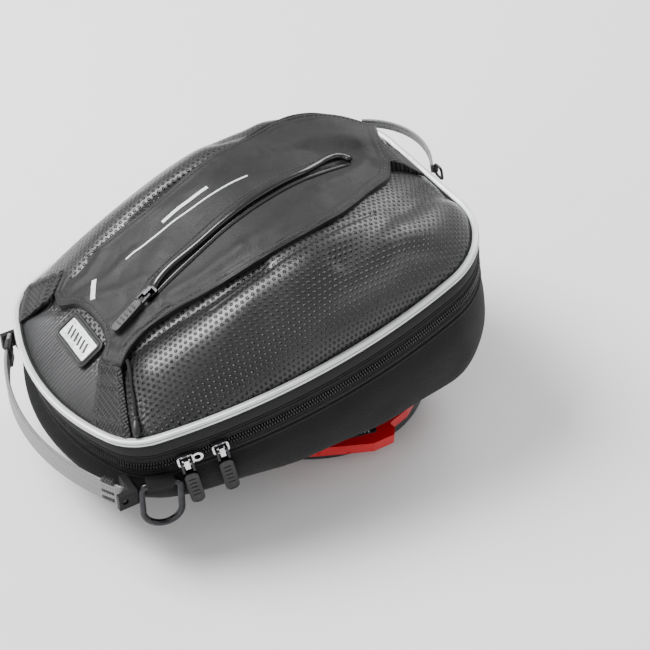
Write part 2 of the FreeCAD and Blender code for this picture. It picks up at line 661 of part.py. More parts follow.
def make_pocket_slider(surface):
    """The panel pocket's slider at the near end of its slit, and its pull lying along the panel."""
    place = resting_on_lid(surface, -60, -12.5, 1.1, 6.7)
    long, wide, wall = 9.0, 6.5, 1.8
    plate = centred_box(long, wide, wall)
    plate = plate.makeFillet(2.0, upright_edges(plate))
    bail_long, bail_wide, bail_high, bore = 6.0, 2.4, 3.2, 1.1
    pin_x, pin_z = -1.0, 3.3
    bail = centred_box(bail_long, bail_wide, bail_high, z=wall)
    bail = bail.cut(Part.makeCylinder(bore, bail_wide, Vector(pin_x, -bail_wide / 2, pin_z), ACROSS))
    piece("pocket_slider", plate.fuse(bail).removeSplitter(), place)
    hinge = place.multiply(Placement(Vector(pin_x, 0, pin_z), Rotation(ACROSS, -3.0)))
    bar_radius, bar_long, cheek_long, cheek_wide, cheek_out, tab_long = 0.8, 4.2, 7.0, 1.3, 2.75, 24.0
    solid = Part.makeCylinder(bar_radius, bar_long, Vector(0, -bar_long / 2, 0), ACROSS)
    for side in (-1, 1):
        solid = solid.fuse(centred_box(cheek_long, cheek_wide, 2 * bar_radius,
                                       bar_radius - cheek_long / 2, side * cheek_out, -bar_radius))
    tab = centred_box(tab_long, 7.6, 2.0, -tab_long / 2 - 5.5, 0, -1.0)
    tab = tab.makeFillet(3.0, upright_edges(tab))
    piece("pocket_pull", solid.fuse(tab).removeSplitter(), hinge)


def bent_path(points):
    """Straight runs joined by tangent arcs, each arc as large as its two runs allow."""
    edges = []
    last = points[0]
    for before, corner, after in zip(points, points[1:], points[2:]):
        back, on = (before - corner).normalize(), (after - corner).normalize()
        reach = 0.45 * min((before - corner).Length, (after - corner).Length)
        half_turn = (math.pi - back.getAngle(on)) / 2
        radius = reach / math.tan(half_turn)
        start, end = corner + back * reach, corner + on * reach
        middle = corner + (back + on).normalize() * (radius / math.cos(half_turn) - radius)
        print("cord bend radius", round(radius, 1))
        edges += [Part.makeLine(last, start), Part.Arc(start, middle, end).toShape()]
        last = end
    edges.append(Part.makeLine(last, points[-1]))
    return Part.Wire(edges)


def make_cord_pull(surface):
    """A short limp cord with a moulded tip that lies on the lid beside the near front leg."""
    radius = 1.0
    lift = radius + 0.9
    places = [(-92.5, -36.4), (-95.0, -44.6), (-99.5, -52.4), (-102.5, -60.8), (-107.0, -68.4)]
    points = [Vector(u, v, lid_height(surface, u, v) + lift) for u, v in places]
    path = bent_path(points)
    first = (points[1] - points[0]).normalize()
    section = Part.Wire(Part.makeCircle(radius, points[0], first))
    cord = path.makePipeShell([section], True, False)
    expected = math.pi * radius**2 * path.Length
    print("cord length", round(path.Length, 1), "volume ratio", round(cord.Volume / expected, 3))
    piece("pull_cord", cord, LID)
    on = (points[-1] - points[-2]).normalize()
    tip = Part.makeCone(1.5, 2.6, 6.5, Vector(), UP).fuse(Part.makeCone(2.6, 1.2, 4.5, UP * 6.5, UP))
    piece("cord_tip", tip.removeSplitter(), LID.multiply(Placement(points[-1], Rotation(UP, on))))


# ---------------------------------------------------------------- build, check and write

LID_SOLID = make_lid()
make_zip()
PANEL_TOP = make_panel()
make_badge(LID_SOLID)
TUB = make_body()
make_tank_ring()
for slider, pull, turn, has_eye in (("zip_slider_front", "zip_pull_front", 1.5, True),
                                    ("zip_slider_rear", "zip_pull_rear", 4.5, False)):
    make_pull(pull, LID.multiply(make_slider(slider, turn, has_eye)))
make_tabs_and_rings(TUB)
make_handle()
make_rear_strap()
make_pocket_slider(PANEL_TOP)
make_cord_pull(LID_SOLID)

doc.recompute()
for obj in doc.Objects:
    if "Invalid" in obj.State or "Error" in obj.State:
        raise SystemExit(f"{obj.Label} failed: {obj.State}")
for obj in PARTS:
    if obj.Shape.isNull() or not obj.Shape.isValid():
        raise SystemExit(f"{obj.Label} has no valid shape")
for obj in PARTS:
    obj.Shape.exportStep(f"parts/{obj.Label}.step")
print(len(PARTS), "pieces written")
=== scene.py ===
"""Looks of the motorcycle tank bag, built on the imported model's frame.

Lengths are millimetres until a mesh is written in metres. Most pieces are drawn in the lid's own plane: u runs
along the rim to the wide end, v across it and w out of the lid. LID and BAG place that plane in the frame.
"""
import json
import math

import bpy
import numpy as np
from mathutils import Matrix, Vector


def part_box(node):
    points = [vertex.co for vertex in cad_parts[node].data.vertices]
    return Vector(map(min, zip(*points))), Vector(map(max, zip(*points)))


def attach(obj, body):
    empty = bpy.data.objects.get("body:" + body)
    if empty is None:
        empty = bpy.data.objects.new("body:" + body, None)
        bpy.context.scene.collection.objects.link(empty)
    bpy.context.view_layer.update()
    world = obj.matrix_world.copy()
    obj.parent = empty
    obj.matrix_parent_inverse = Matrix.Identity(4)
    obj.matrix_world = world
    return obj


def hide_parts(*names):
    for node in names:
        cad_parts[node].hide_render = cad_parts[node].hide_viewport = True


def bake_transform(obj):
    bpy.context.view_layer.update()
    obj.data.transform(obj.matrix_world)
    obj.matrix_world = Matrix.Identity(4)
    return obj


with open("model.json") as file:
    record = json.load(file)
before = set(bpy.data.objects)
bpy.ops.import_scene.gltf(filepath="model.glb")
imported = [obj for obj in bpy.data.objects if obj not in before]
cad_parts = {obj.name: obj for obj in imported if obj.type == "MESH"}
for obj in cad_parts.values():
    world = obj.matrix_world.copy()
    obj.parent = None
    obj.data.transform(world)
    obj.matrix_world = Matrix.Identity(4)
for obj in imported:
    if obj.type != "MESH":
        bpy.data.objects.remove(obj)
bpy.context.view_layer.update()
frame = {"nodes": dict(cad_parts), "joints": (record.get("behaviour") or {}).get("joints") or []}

MM = 0.001
TILT = 10.8
RIM_PLACE = Matrix.Translation((-0.048, 0, 0.108))
LID = RIM_PLACE @ Matrix.Rotation(math.radians(-TILT), 4, "Y")
BAG = RIM_PLACE

# ---------------------------------------------------------------- the rim's outline

RIM_ARCS = ((154.4, 24.3), (36.0, 49.2), (403.0, 28.5), (53.5, 78.0))


def rim_polyline():
    """The rim's closed outline as dense points about its own centre, near side first, with outward normals."""
    points, normals = [], []
    position, heading = np.zeros(2), -90.0
    for radius, sweep in RIM_ARCS:
        angles = np.radians(heading + np.linspace(0, sweep, 200, endpoint=False))
        start = math.radians(heading)
        centre = position - radius * np.array([math.sin(start), -math.cos(start)])
        outward = np.stack([np.sin(angles), -np.cos(angles)], 1)
        points.append(centre + radius * outward)
        normals.append(outward)
        heading += sweep
        end = math.radians(heading)
        position = centre + radius * np.array([math.sin(end), -math.cos(end)])
    half_points, half_normals = np.concatenate(points), np.concatenate(normals)
    down = np.linspace(position[1], -position[1], 100, endpoint=False)
    straight = np.stack([np.full(100, position[0]), down], 1)
    mirror = np.array([1.0, -1.0])
    outline = np.concatenate([half_points, straight, half_points[:0:-1] * mirror])
    outward = np.concatenate([half_normals, np.tile([1.0, 0.0], (100, 1)), half_normals[:0:-1] * mirror])
    outline[:, 0] -= position[0] / 2
    return outline, outward


RIM_POINTS, RIM_NORMALS = rim_polyline()
HALF_LENGTH = RIM_POINTS[:, 0].max()
HALF_WIDTH = RIM_POINTS[:, 1].max()
_steps = np.linalg.norm(np.diff(RIM_POINTS, axis=0, append=RIM_POINTS[:1]), axis=1)
RIM_RUN = np.concatenate([[0], np.cumsum(_steps)])
RIM_LENGTH = RIM_RUN[-1]
RIM_ANGLES = np.arctan2(RIM_POINTS[:, 1], RIM_POINTS[:, 0])
RIM_ORDER = np.argsort(RIM_ANGLES)
RIM_REACH = np.hypot(RIM_POINTS[:, 0], RIM_POINTS[:, 1])


def rim_at(run):
    """The rim's points and outward normals at these distances along it."""
    run = np.mod(run, RIM_LENGTH)
    looped = lambda values: np.append(values, values[0])
    point = np.stack([np.interp(run, RIM_RUN, looped(RIM_POINTS[:, k])) for k in (0, 1)], -1)
    normal = np.stack([np.interp(run, RIM_RUN, looped(RIM_NORMALS[:, k])) for k in (0, 1)], -1)
    return point, normal / np.linalg.norm(normal, axis=-1, keepdims=True)


def rim_reach(angle):
    """How far the rim is from its own centre in this direction."""
    return np.interp(angle, RIM_ANGLES[RIM_ORDER], RIM_REACH[RIM_ORDER], period=2 * math.pi)


# ---------------------------------------------------------------- the lid's dome

# CREST is the top's place along u and CROWN its height. The grows move the whole dome out or in: the shell lies
# inside it, and the panel and its straps just outside. SEWN_DEPTH is how far their undersides reach below that.
CREST, CROWN = 20.0, 49.0
SHELL_GROW = -2.6
PANEL_GROW = 0.4
SEWN_DEPTH = 2.9


def dome_height(u, v, grow=SHELL_GROW):
    """The dome's height over (u, v), by halving the range of levels until the level's outline passes there."""
    ends, half = HALF_LENGTH + grow, HALF_WIDTH + grow
    low, high = np.zeros(np.shape(u)), np.ones(np.shape(u))
    for _ in range(26):
        level = (low + high) / 2
        left = CREST - (CREST + ends) * (1 - level**1.1) ** (1 / 1.5)
        right = CREST + (ends - CREST) * (1 - level**1.4) ** (1 / 1.7)
        wide = half * (1 - level**1.55) ** (1 / 5.5)
        x = (u - (left + right) / 2) * 2 * HALF_LENGTH / (right - left)
        y = v * HALF_WIDTH / wide
        inside = np.hypot(x, y) < rim_reach(np.arctan2(y, x))
        low, high = np.where(inside, level, low), np.where(inside, high, level)
    return (CROWN + grow) * low


def near_line(u, v, line):
    """The distance from each (u, v) to a line through these points."""
    best = np.full(np.shape(u), 1e9)
    for (ax, ay), (bx, by) in zip(line, line[1:]):
        dx, dy = bx - ax, by - ay
        share = np.clip(((u - ax) * dx + (v - ay) * dy) / (dx * dx + dy * dy), 0, 1)
        best = np.minimum(best, np.hypot(u - ax - share * dx, v - ay - share * dy))
    return best


def ridge(u, v, line, width, height):
    """A soft ridge along a line, or a valley where height is negative."""
    return height * np.exp(-(near_line(u, v, line) / width) ** 2)


def smooth_step(value, low, high):
    """From 0 at low to 1 at high, level at both."""
    share = np.clip((value - low) / (high - low), 0, 1)
    return share * share * (3 - 2 * share)


def shell_relief(u, v):
    """The shell's moulded swells and valleys, the same on both sides."""
    side = np.abs(v)
    gutter = [(-122, 66), (-104, 40), (-92, 34), (-78, 33), (-58, 37), (-34, 43), (-4, 47)]
    relief = ridge(u, side, gutter, 6.0, -3.2)
    relief += ridge(u, side, [(-84, 52), (-50, 58), (20, 62), (78, 58)], 13.0, 3.0)
    relief += ridge(u, side, [(-40, 50), (0, 52), (40, 51), (76, 45)], 1.5, -1.1)
    relief += ridge(u, side, [(126, 30), (104, 43), (74, 57), (38, 70)], 8.0, -3.4)
    relief += ridge(u, side, [(124, 47), (102, 62), (70, 74)], 11.0, 2.0)
    return relief * smooth_step(HALF_WIDTH - side, 3, 22)


def lining_relief(u, v):
    """The lining follows the shell's valleys and is lightly quilted."""
    return np.minimum(shell_relief(u, v), 0) + 0.3 * np.cos(u / 4.2) * np.cos(v / 4.2) - 0.3


# ---------------------------------------------------------------- mesh helpers

def placed(points, place=LID):
    """Points in millimetres, moved by place, in metres."""
    flat = np.asarray(points, float).reshape(-1, 3) * MM
    matrix = np.array(place)
    return (flat @ matrix[:3, :3].T + matrix[:3, 3]).reshape(np.shape(points))


def surface(points, uv=None, close_rows=False, close_cols=False, poles=None):
    """Vertices, faces and corner UVs of a grid of points. poles closes its first and last rows to a point."""
    rows, cols = points.shape[:2]
    vertices = [tuple(p) for p in points.reshape(-1, 3)]
    faces, corners = [], []
    for r in range(rows if close_rows else rows - 1):
        for c in range(cols if close_cols else cols - 1):
            spots = ((r, c), (r, c + 1), (r + 1, c + 1), (r + 1, c))
            faces.append([(a % rows) * cols + b % cols for a, b in spots])
            corners.append(spots)
    if poles is not None:
        for row, pole in ((0, poles[0]), (rows - 1, poles[1])):
            vertices.append(tuple(pole))
            for c in range(cols):
                ring = [row * cols + c, row * cols + (c + 1) % cols]
                spots = [(row, c), (row, c + 1)]
                if row == 0:
                    ring, spots = ring[::-1], spots[::-1]
                faces.append(ring + [len(vertices) - 1])
                corners.append(spots + [spots[0]])
    coordinates = None
    if uv is not None:
        coordinates = [tuple(uv[a, b]) for spots in corners for a, b in spots]
    return vertices, faces, coordinates


def capped(points, uv=None):
    """A tube of rings, closed to a point at both ends."""
    return surface(points, uv, close_cols=True, poles=(points[0].mean(0), points[-1].mean(0)))


def run_along(points):
    """Each point's distance from the first one, along the line through them."""
    return np.concatenate([[0], np.cumsum(np.linalg.norm(np.diff(points, axis=0), axis=1))])


def piece(name, mesh_data, body, material, stands_for=(), rounded=0.0):
    """A mesh object that rides on a body. rounded adds a bevel of that many millimetres to its sharp edges."""
    vertices, faces, coordinates = mesh_data
    mesh = bpy.data.meshes.new(name)
    mesh.from_pydata(vertices, [], faces)
    mesh.materials.append(material)
    mesh.shade_smooth()
    if coordinates is not None:
        layer = mesh.uv_layers.new(name="UVMap")
        layer.data.foreach_set("uv", np.asarray(coordinates, np.float32).ravel())
    mesh.validate()
    obj = bpy.data.objects.new(name, mesh)
    bpy.context.scene.collection.objects.link(obj)
    if rounded:
        soften(obj, rounded)
    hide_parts(*stands_for)
    if body:
        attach(obj, body)
    return obj


def soften(obj, width, segments=2):
    """Rounds an object's sharp edges and shades it smoothly."""
    obj.data.shade_smooth()
    bevel = obj.modifiers.new("edges", "BEVEL")
    bevel.width = width * MM
    bevel.segments = segments
    bevel.limit_method = "ANGLE"
    bevel.angle_limit = math.radians(38)
    bevel.harden_normals = True
    return obj


def rim_sweep(profile, columns=420):
    """A closed profile of (outwards, up) points carried round the rim, with UVs along and round it."""
    run = np.linspace(0, RIM_LENGTH, columns, endpoint=False)
    point, normal = rim_at(run)
    rows = []
    for out, up in profile:
        ring = point + normal * out
        rows.append(np.column_stack([ring, np.full(columns, up)]))
    points = placed(np.array(rows))
    around = np.append(run, RIM_LENGTH)
    loop = np.array(list(profile) + [profile[0]])
    across = run_along(loop)
    uv = np.stack(np.meshgrid(around, across), -1)
    return surface(points, uv, close_rows=True, close_cols=True)


def smooth_path(points, count):
    """A Catmull-Rom curve through these points, at evenly spaced values along it."""
    points = np.asarray(points, float)
    steps = np.linalg.norm(np.diff(points, axis=0), axis=1)
    knots = np.concatenate([[0], np.cumsum(steps)])
    slopes = np.gradient(points, knots, axis=0)
    places = np.linspace(0, knots[-1], count)
    index = np.clip(np.searchsorted(knots, places, side="right") - 1, 0, len(steps) - 1)
    span = steps[index][:, None]
    t = ((places - knots[index])[:, None]) / span
    return ((2 * t**3 - 3 * t**2 + 1) * points[index] + (t**3 - 2 * t**2 + t) * span * slopes[index]
            + (3 * t**2 - 2 * t**3) * points[index + 1] + (t**3 - t**2) * span * slopes[index + 1])


def even_path(points, pitch):
    """Points along a path, spaced evenly by about pitch."""
    points = np.asarray(points, float)
    run = run_along(points)
    count = max(2, int(round(run[-1] / pitch)) + 1)
    return np.stack([np.interp(np.linspace(0, run[-1], count), run, points[:, k]) for k in range(3)], 1)


def tube(path, normals, profile):
    """Rings of points and their UVs: a profile of (side, out) points carried along a path with these normals."""
    path, normals = np.asarray(path, float), np.asarray(normals, float)
    along = np.gradient(path, axis=0)
    along /= np.linalg.norm(along, axis=1, keepdims=True)
    side = np.cross(normals, along)
    side /= np.linalg.norm(side, axis=1, keepdims=True)
    out = np.cross(along, side)
    rows = [path + side * s + out * o for s, o in profile]
    points = np.swapaxes(np.array(rows), 0, 1)
    loop = np.array(list(profile) + [profile[0]])
    uv = np.stack(np.meshgrid(run_along(loop), run_along(path)), -1)
    return points, uv


def rounded_profile(wide, thick, corner, crown=0.0, steps=3, ribs=0):
    """A flat strap's section: a rounded rectangle, with a slight crown and ribs along it on both faces."""
    half, deep = wide / 2, thick / 2
    flat = np.linspace(-half + corner, half - corner, max(4, ribs * 4 + 1))
    wave = 0.0 if not ribs else 0.13 * np.cos(np.linspace(0, 2 * math.pi * ribs, len(flat)))
    top = deep + crown * (1 - (flat / half) ** 2) + wave
    turn = np.linspace(math.pi / 2, -math.pi / 2, 2 * steps + 1)[1:-1]
    right = [(half - corner + corner * math.cos(a), deep * math.sin(a)) for a in turn]
    left = [(-x, -y) for x, y in right]
    upper = list(zip(flat, top))
    lower = [(-x, -y) for x, y in upper]
    return upper + right + lower + left


def circle_profile(radius, count=12, flat=1.0):
    """A round section, its height scaled by flat."""
    angles = np.linspace(0, 2 * math.pi, count, endpoint=False)
    return [(radius * math.sin(a), radius * flat * math.cos(a)) for a in angles]


def merged(parts):
    """One mesh from several (vertices, faces, UVs)."""
    vertices, faces = [], []
    for part_vertices, part_faces, _ in parts:
        start = len(vertices)
        vertices += [tuple(p) for p in part_vertices]
        faces += [[start + index for index in face] for face in part_faces]
    return vertices, faces, None


# Along a stitch, as a share of its length: place, thickness and rise.
THREAD_RINGS = ((-0.5, 0.35, -0.6), (-0.3, 0.95, 0.25), (0, 1, 0.5), (0.3, 0.95, 0.25), (0.5, 0.35, -0.6))


def capsules(path, normals, pitch, long, radius, lift):
    """Stitches: short round-ended threads along a path, sunk at both ends."""
    spots = even_path(path, pitch)
    share = np.linspace(0, 1, len(spots))
    base = np.linspace(0, 1, len(path))
    outs = np.stack([np.interp(share, base, np.asarray(normals)[:, k]) for k in range(3)], 1)
    parts = []
    for here, on, out in zip(spots, spots[1:], outs):
        along = (on - here) / np.linalg.norm(on - here)
        side = np.cross(out, along)
        rings = []
        for place, grow, rise in THREAD_RINGS:
            centre = (here + on) / 2 + along * place * long + out * (lift + rise * radius)
            rings.append([centre + grow * radius * (side * math.cos(a) + out * math.sin(a))
                          for a in np.arange(6) * math.pi / 3])
        rings = np.array(rings)
        parts.append(capped(rings))
    return merged(parts)


def lathe(profile, place, count=32):
    """A turned shape: (radius, height) points about Z, closed to its axis at both ends."""
    angles = np.linspace(0, 2 * math.pi, count, endpoint=False)
    rings = np.array([[(r * math.cos(a), r * math.sin(a), h) for a in angles] for r, h in profile])
    points = placed(rings, place)
    ends = placed(np.array([[0, 0, profile[0][1]], [0, 0, profile[-1][1]]]), place)
    return surface(points, close_cols=True, poles=ends)


def coons(near, far, front, rear):
    """A grid over four curves: near and far run the same way, front joins their starts, rear their ends."""
    near, far, front, rear = (np.asarray(c, float) for c in (near, far, front, rear))
    t = np.linspace(0, 1, len(front))[:, None, None]
    s = np.linspace(0, 1, len(near))[None, :, None]
    ruled = (1 - t) * near[None] + t * far[None] + (1 - s) * front[:, None] + s * rear[:, None]
    corner = ((1 - t) * (1 - s) * near[0] + (1 - t) * s * near[-1] + t * (1 - s) * far[0] + t * s * far[-1])
    return ruled - corner


def slab(plan, top, bottom):
    """A closed sheet over a grid of (u, v) with these heights in the lid's plane, with UVs in millimetres."""
    rows, cols = plan.shape[:2]
    upper = placed(np.dstack([plan, top]))
    lower = placed(np.dstack([plan, bottom]))
    vertices = [tuple(p) for p in upper.reshape(-1, 3)] + [tuple(p) for p in lower.reshape(-1, 3)]
    under = rows * cols
    faces, corners = [], []
    for r in range(rows - 1):
        for c in range(cols - 1):
            ring = [r * cols + c, r * cols + c + 1, (r + 1) * cols + c + 1, (r + 1) * cols + c]
            faces.append(ring)
            faces.append([under + index for index in ring[::-1]])
    border = ([c for c in range(cols)] + [r * cols + cols - 1 for r in range(1, rows)]
              + [(rows - 1) * cols + c for c in range(cols - 2, -1, -1)] + [r * cols for r in range(rows - 2, 0, -1)])
    for here, on in zip(border, border[1:] + border[:1]):
        faces.append([on, here, under + here, under + on])
    flat = plan.reshape(-1, 2)
    coordinates = [tuple(flat[index % under]) for face in faces for index in face]
    return vertices, faces, coordinates


# ---------------------------------------------------------------- materials

def grey(level, blue):
    """A grey of this level, a touch bluer or not."""
    return (level, level, blue)


def new_material(name):
    material = bpy.data.materials.new(name)
    material.use_nodes = True
    return material, material.node_tree, material.node_tree.nodes["Principled BSDF"]


def node(tree, kind, links=(), **values):
    """A node with its properties set, and its inputs fed from (input, output socket) pairs or plain values."""
    made = tree.nodes.new(kind)
    for key, value in values.items():
        setattr(made, key, value)
    for key, source in links:
        if isinstance(source, bpy.types.NodeSocket):
            tree.links.new(source, made.inputs[key])
        else:
            made.inputs[key].default_value = source
    return made


def number(tree, operation, *sources):
    return node(tree, "ShaderNodeMath", list(enumerate(sources)), operation=operation).outputs[0]


def times(tree, *sources):
    return number(tree, "MULTIPLY", *sources)


def plus(tree, *sources):
    return number(tree, "ADD", *sources)


def noise(tree, where, scale, detail=3.0, rough=0.55):
    return node(tree, "ShaderNodeTexNoise", [("Vector", where), ("Scale", scale), ("Detail", detail),
                                             ("Roughness", rough)]).outputs["Fac"]


def ramp(tree, factor, low, high, first, last):
    """A smooth change from first to last as factor goes from low to high."""
    return node(tree, "ShaderNodeMapRange", [("Value", factor), ("From Min", low), ("From Max", high),
                                             ("To Min", first), ("To Max", last)],
                interpolation_type="SMOOTHSTEP").outputs["Result"]


def mixed(tree, factor, first, second):
    mix = node(tree, "ShaderNodeMix", [("Factor", factor)], data_type="RGBA")
    for index, colour in ((6, first), (7, second)):
        if isinstance(colour, bpy.types.NodeSocket):
            tree.links.new(colour, mix.inputs[index])
        else:
            mix.inputs[index].default_value = (*colour, 1)
    return mix.outputs[2]


def bumped(tree, shader, height, strength, distance):
    bump = node(tree, "ShaderNodeBump", [("Height", height), ("Strength", strength), ("Distance", distance)])
    tree.links.new(bump.outputs["Normal"], shader.inputs["Normal"])


def object_place(tree):
    return node(tree, "ShaderNodeTexCoord").outputs["Object"]


def uv_place(tree):
    return node(tree, "ShaderNodeTexCoord").outputs["UV"]


def cloth(name, dark, light, pitch=1.0, rough=0.82, sheen=0.25, weave=0.35, distance=0.0004, plain=0.5,
          creases=0.0):
    """Woven cloth: a fine weave in the object's own space, soft mottling, and the raised threads painted lighter as a
    highlight.
    """
    material, tree, shader = new_material(name)
    where = object_place(tree)
    split = node(tree, "ShaderNodeSeparateXYZ", [("Vector", where)])
    turn = 2 * math.pi / (pitch * MM)
    waves = [number(tree, "SINE", times(tree, split.outputs[axis], turn)) for axis in "XYZ"]
    crossed = plus(tree, times(tree, waves[0], waves[1]), times(tree, waves[2], plus(tree, waves[0], waves[1])))
    grain = noise(tree, where, 900, 4)
    height = plus(tree, times(tree, crossed, plain), times(tree, grain, 1.2))
    mottle = noise(tree, where, 45, 4, 0.6)
    # Painted highlight: the colour follows the weave's height, lighter on the raised threads and fibres, with random
    # mottling.
    shade = plus(tree, times(tree, height, 0.35), times(tree, mottle, 0.8))
    if creases:
        folds = number(tree, "ABSOLUTE", number(tree, "SUBTRACT", noise(tree, where, 26, 2.5, 0.5), 0.5))
        height = plus(tree, height, times(tree, folds, creases))
    tree.links.new(mixed(tree, ramp(tree, shade, 0.2, 1.1, 0, 1), dark, light), shader.inputs["Base Color"])
    tree.links.new(ramp(tree, mottle, 0.3, 0.7, rough - 0.06, rough + 0.05), shader.inputs["Roughness"])
    shader.inputs["Sheen Weight"].default_value = sheen
    shader.inputs["Sheen Roughness"].default_value = 0.5
    shader.inputs["Specular IOR Level"].default_value = 0.22
    bumped(tree, shader, height, weave, distance)
    return material


def ribbed_webbing(name, dark, light, rib=1.4, rough=0.8, sheen=0.3):
    """Webbing: cross ribs and rows of warp from the strap's own coordinates."""
    material, tree, shader = new_material(name)
    where = uv_place(tree)
    split = node(tree, "ShaderNodeSeparateXYZ", [("Vector", where)])
    across = number(tree, "SINE", times(tree, split.outputs["Y"], 2 * math.pi / rib))
    along = number(tree, "SINE", times(tree, split.outputs["X"], 2 * math.pi / (rib * 1.3)))
    height = times(tree, plus(tree, across, 1.6), plus(tree, along, 1.8))
    fuzz = noise(tree, object_place(tree), 700, 4)
    # Painted highlight: the colour follows the ribs' height, lighter on their crests and darker between them, with
    # random fuzz.
    shade = plus(tree, times(tree, height, 0.13), times(tree, fuzz, 0.7))
    tree.links.new(mixed(tree, ramp(tree, shade, 0.25, 1.25, 0, 1), dark, light), shader.inputs["Base Color"])
    shader.inputs["Roughness"].default_value = rough
    shader.inputs["Sheen Weight"].default_value = sheen
    bumped(tree, shader, height, 0.5, 0.0003)
    return material


def moulded_shell():
    """The lid's moulded skin: hexagonal rows of small dimples, painted darker as shade in their hollows, that fade
    out at the ends, over a satin sheet.
    """
    material, tree, shader = new_material("moulded_shell")
    where = uv_place(tree)
    pitch = 3.7
    half = (pitch / 2, pitch * math.sqrt(3) / 2, 1.0)
    spots = []
    for offset in ((0.0, 0.0, 0.0), (half[0], half[1], 0.0)):
        moved = node(tree, "ShaderNodeVectorMath", [(0, where), (1, offset)], operation="ADD").outputs[0]
        wrapped = node(tree, "ShaderNodeVectorMath", [(0, moved), (1, half), (2, tuple(-x for x in half))],
                       operation="WRAP").outputs[0]
        flat = node(tree, "ShaderNodeVectorMath", [(0, wrapped), (1, (1, 1, 0))], operation="MULTIPLY").outputs[0]
        spots.append(node(tree, "ShaderNodeVectorMath", [(0, flat)], operation="LENGTH").outputs["Value"])
    nearest = number(tree, "MINIMUM", *spots)
    split = node(tree, "ShaderNodeSeparateXYZ", [("Vector", where)])
    fade = times(tree, ramp(tree, split.outputs["X"], -122, -96, 0, 1),
                  ramp(tree, split.outputs["X"], 132, 150, 1, 0.2))
    pit = times(tree, ramp(tree, nearest, 0.35, 1.15, 1, 0), fade)
    grain = noise(tree, object_place(tree), 1500, 3)
    mottle = noise(tree, object_place(tree), 22, 3)
    rib = number(tree, "SINE", times(tree, split.outputs["Y"], 2 * math.pi / 2.6))
    faint = times(tree, rib, times(tree, ramp(tree, split.outputs["X"], -118, -96, 1, 0), 0.12))
    height = plus(tree, number(tree, "SUBTRACT", times(tree, grain, 0.10), pit), faint)
    plain = mixed(tree, ramp(tree, mottle, 0.3, 0.7, 0, 1), grey(0.015, 0.0155), grey(0.024, 0.025))
    # Painted shade: each dimple's colour is mixed towards near black, as if its hollow were shaded.
    tree.links.new(mixed(tree, pit, plain, grey(0.002, 0.0025)), shader.inputs["Base Color"])
    tree.links.new(ramp(tree, mottle, 0.3, 0.7, 0.27, 0.35), shader.inputs["Roughness"])
    shader.inputs["Specular IOR Level"].default_value = 0.55
    bumped(tree, shader, height, 1.0, 0.0012)
    return material


def plastic(name, colour, mottle_and_highlight, rough, grain=900, strength=0.25, coat=0.0):
    """Moulded plastic: fine grain, painted slightly lighter as a highlight where the grain stands up, and mottled at
    random.
    """
    material, tree, shader = new_material(name)
    where = object_place(tree)
    fine = noise(tree, where, grain, 4)
    broad = noise(tree, where, 35, 3)
    # Painted highlight: the lighter colour goes where the fine grain stands up, mixed with random broad mottling.
    tree.links.new(mixed(tree, ramp(tree, plus(tree, fine, broad), 0.75, 1.3, 0, 1), colour, mottle_and_highlight),
                   shader.inputs["Base Color"])
    tree.links.new(ramp(tree, broad, 0.3, 0.7, rough - 0.05, rough + 0.06), shader.inputs["Roughness"])
    shader.inputs["Coat Weight"].default_value = coat
    bumped(tree, shader, fine, strength, 0.0002)
    return material


def metal(name, colour, rough, scratch=0.1, brushed=False):
    material, tree, shader = new_material(name)
    where = object_place(tree)
    if brushed:
        where = node(tree, "ShaderNodeMapping", [("Vector", where), ("Scale", (1.0, 0.06, 1.0))]).outputs[0]
    marks = noise(tree, where, 1800, 5, 0.7)
    broad = noise(tree, object_place(tree), 120, 3)
    dull = tuple(0.7 * c for c in colour)
    tree.links.new(mixed(tree, ramp(tree, broad, 0.35, 0.75, 0, 1), colour, dull), shader.inputs["Base Color"])
    tree.links.new(ramp(tree, marks, 0.3, 0.7, rough, rough + scratch), shader.inputs["Roughness"])
    shader.inputs["Metallic"].default_value = 1.0
    bumped(tree, shader, marks, 0.15, 0.00005)
    return material


def reflective_piping():
    """Silver reflective film with its fine diamond grain."""
    material, tree, shader = new_material("piping")
    where = uv_place(tree)
    split = node(tree, "ShaderNodeSeparateXYZ", [("Vector", where)])
    turn = 2 * math.pi / 0.9
    waves = []
    for operation in ("ADD", "SUBTRACT"):
        slant = number(tree, operation, split.outputs["X"], split.outputs["Y"])
        waves.append(number(tree, "SINE", times(tree, slant, turn)))
    diamonds = times(tree, *waves)
    mottle = noise(tree, object_place(tree), 60, 3)
    shade = plus(tree, times(tree, diamonds, 0.25), mottle)
    tree.links.new(mixed(tree, ramp(tree, shade, 0.2, 0.9, 0, 1), (0.62, 0.63, 0.64), (0.86, 0.87, 0.88)),
                   shader.inputs["Base Color"])
    shader.inputs["Metallic"].default_value = 0.35
    shader.inputs["Roughness"].default_value = 0.34
    bumped(tree, shader, diamonds, 0.2, 0.0001)
    return material


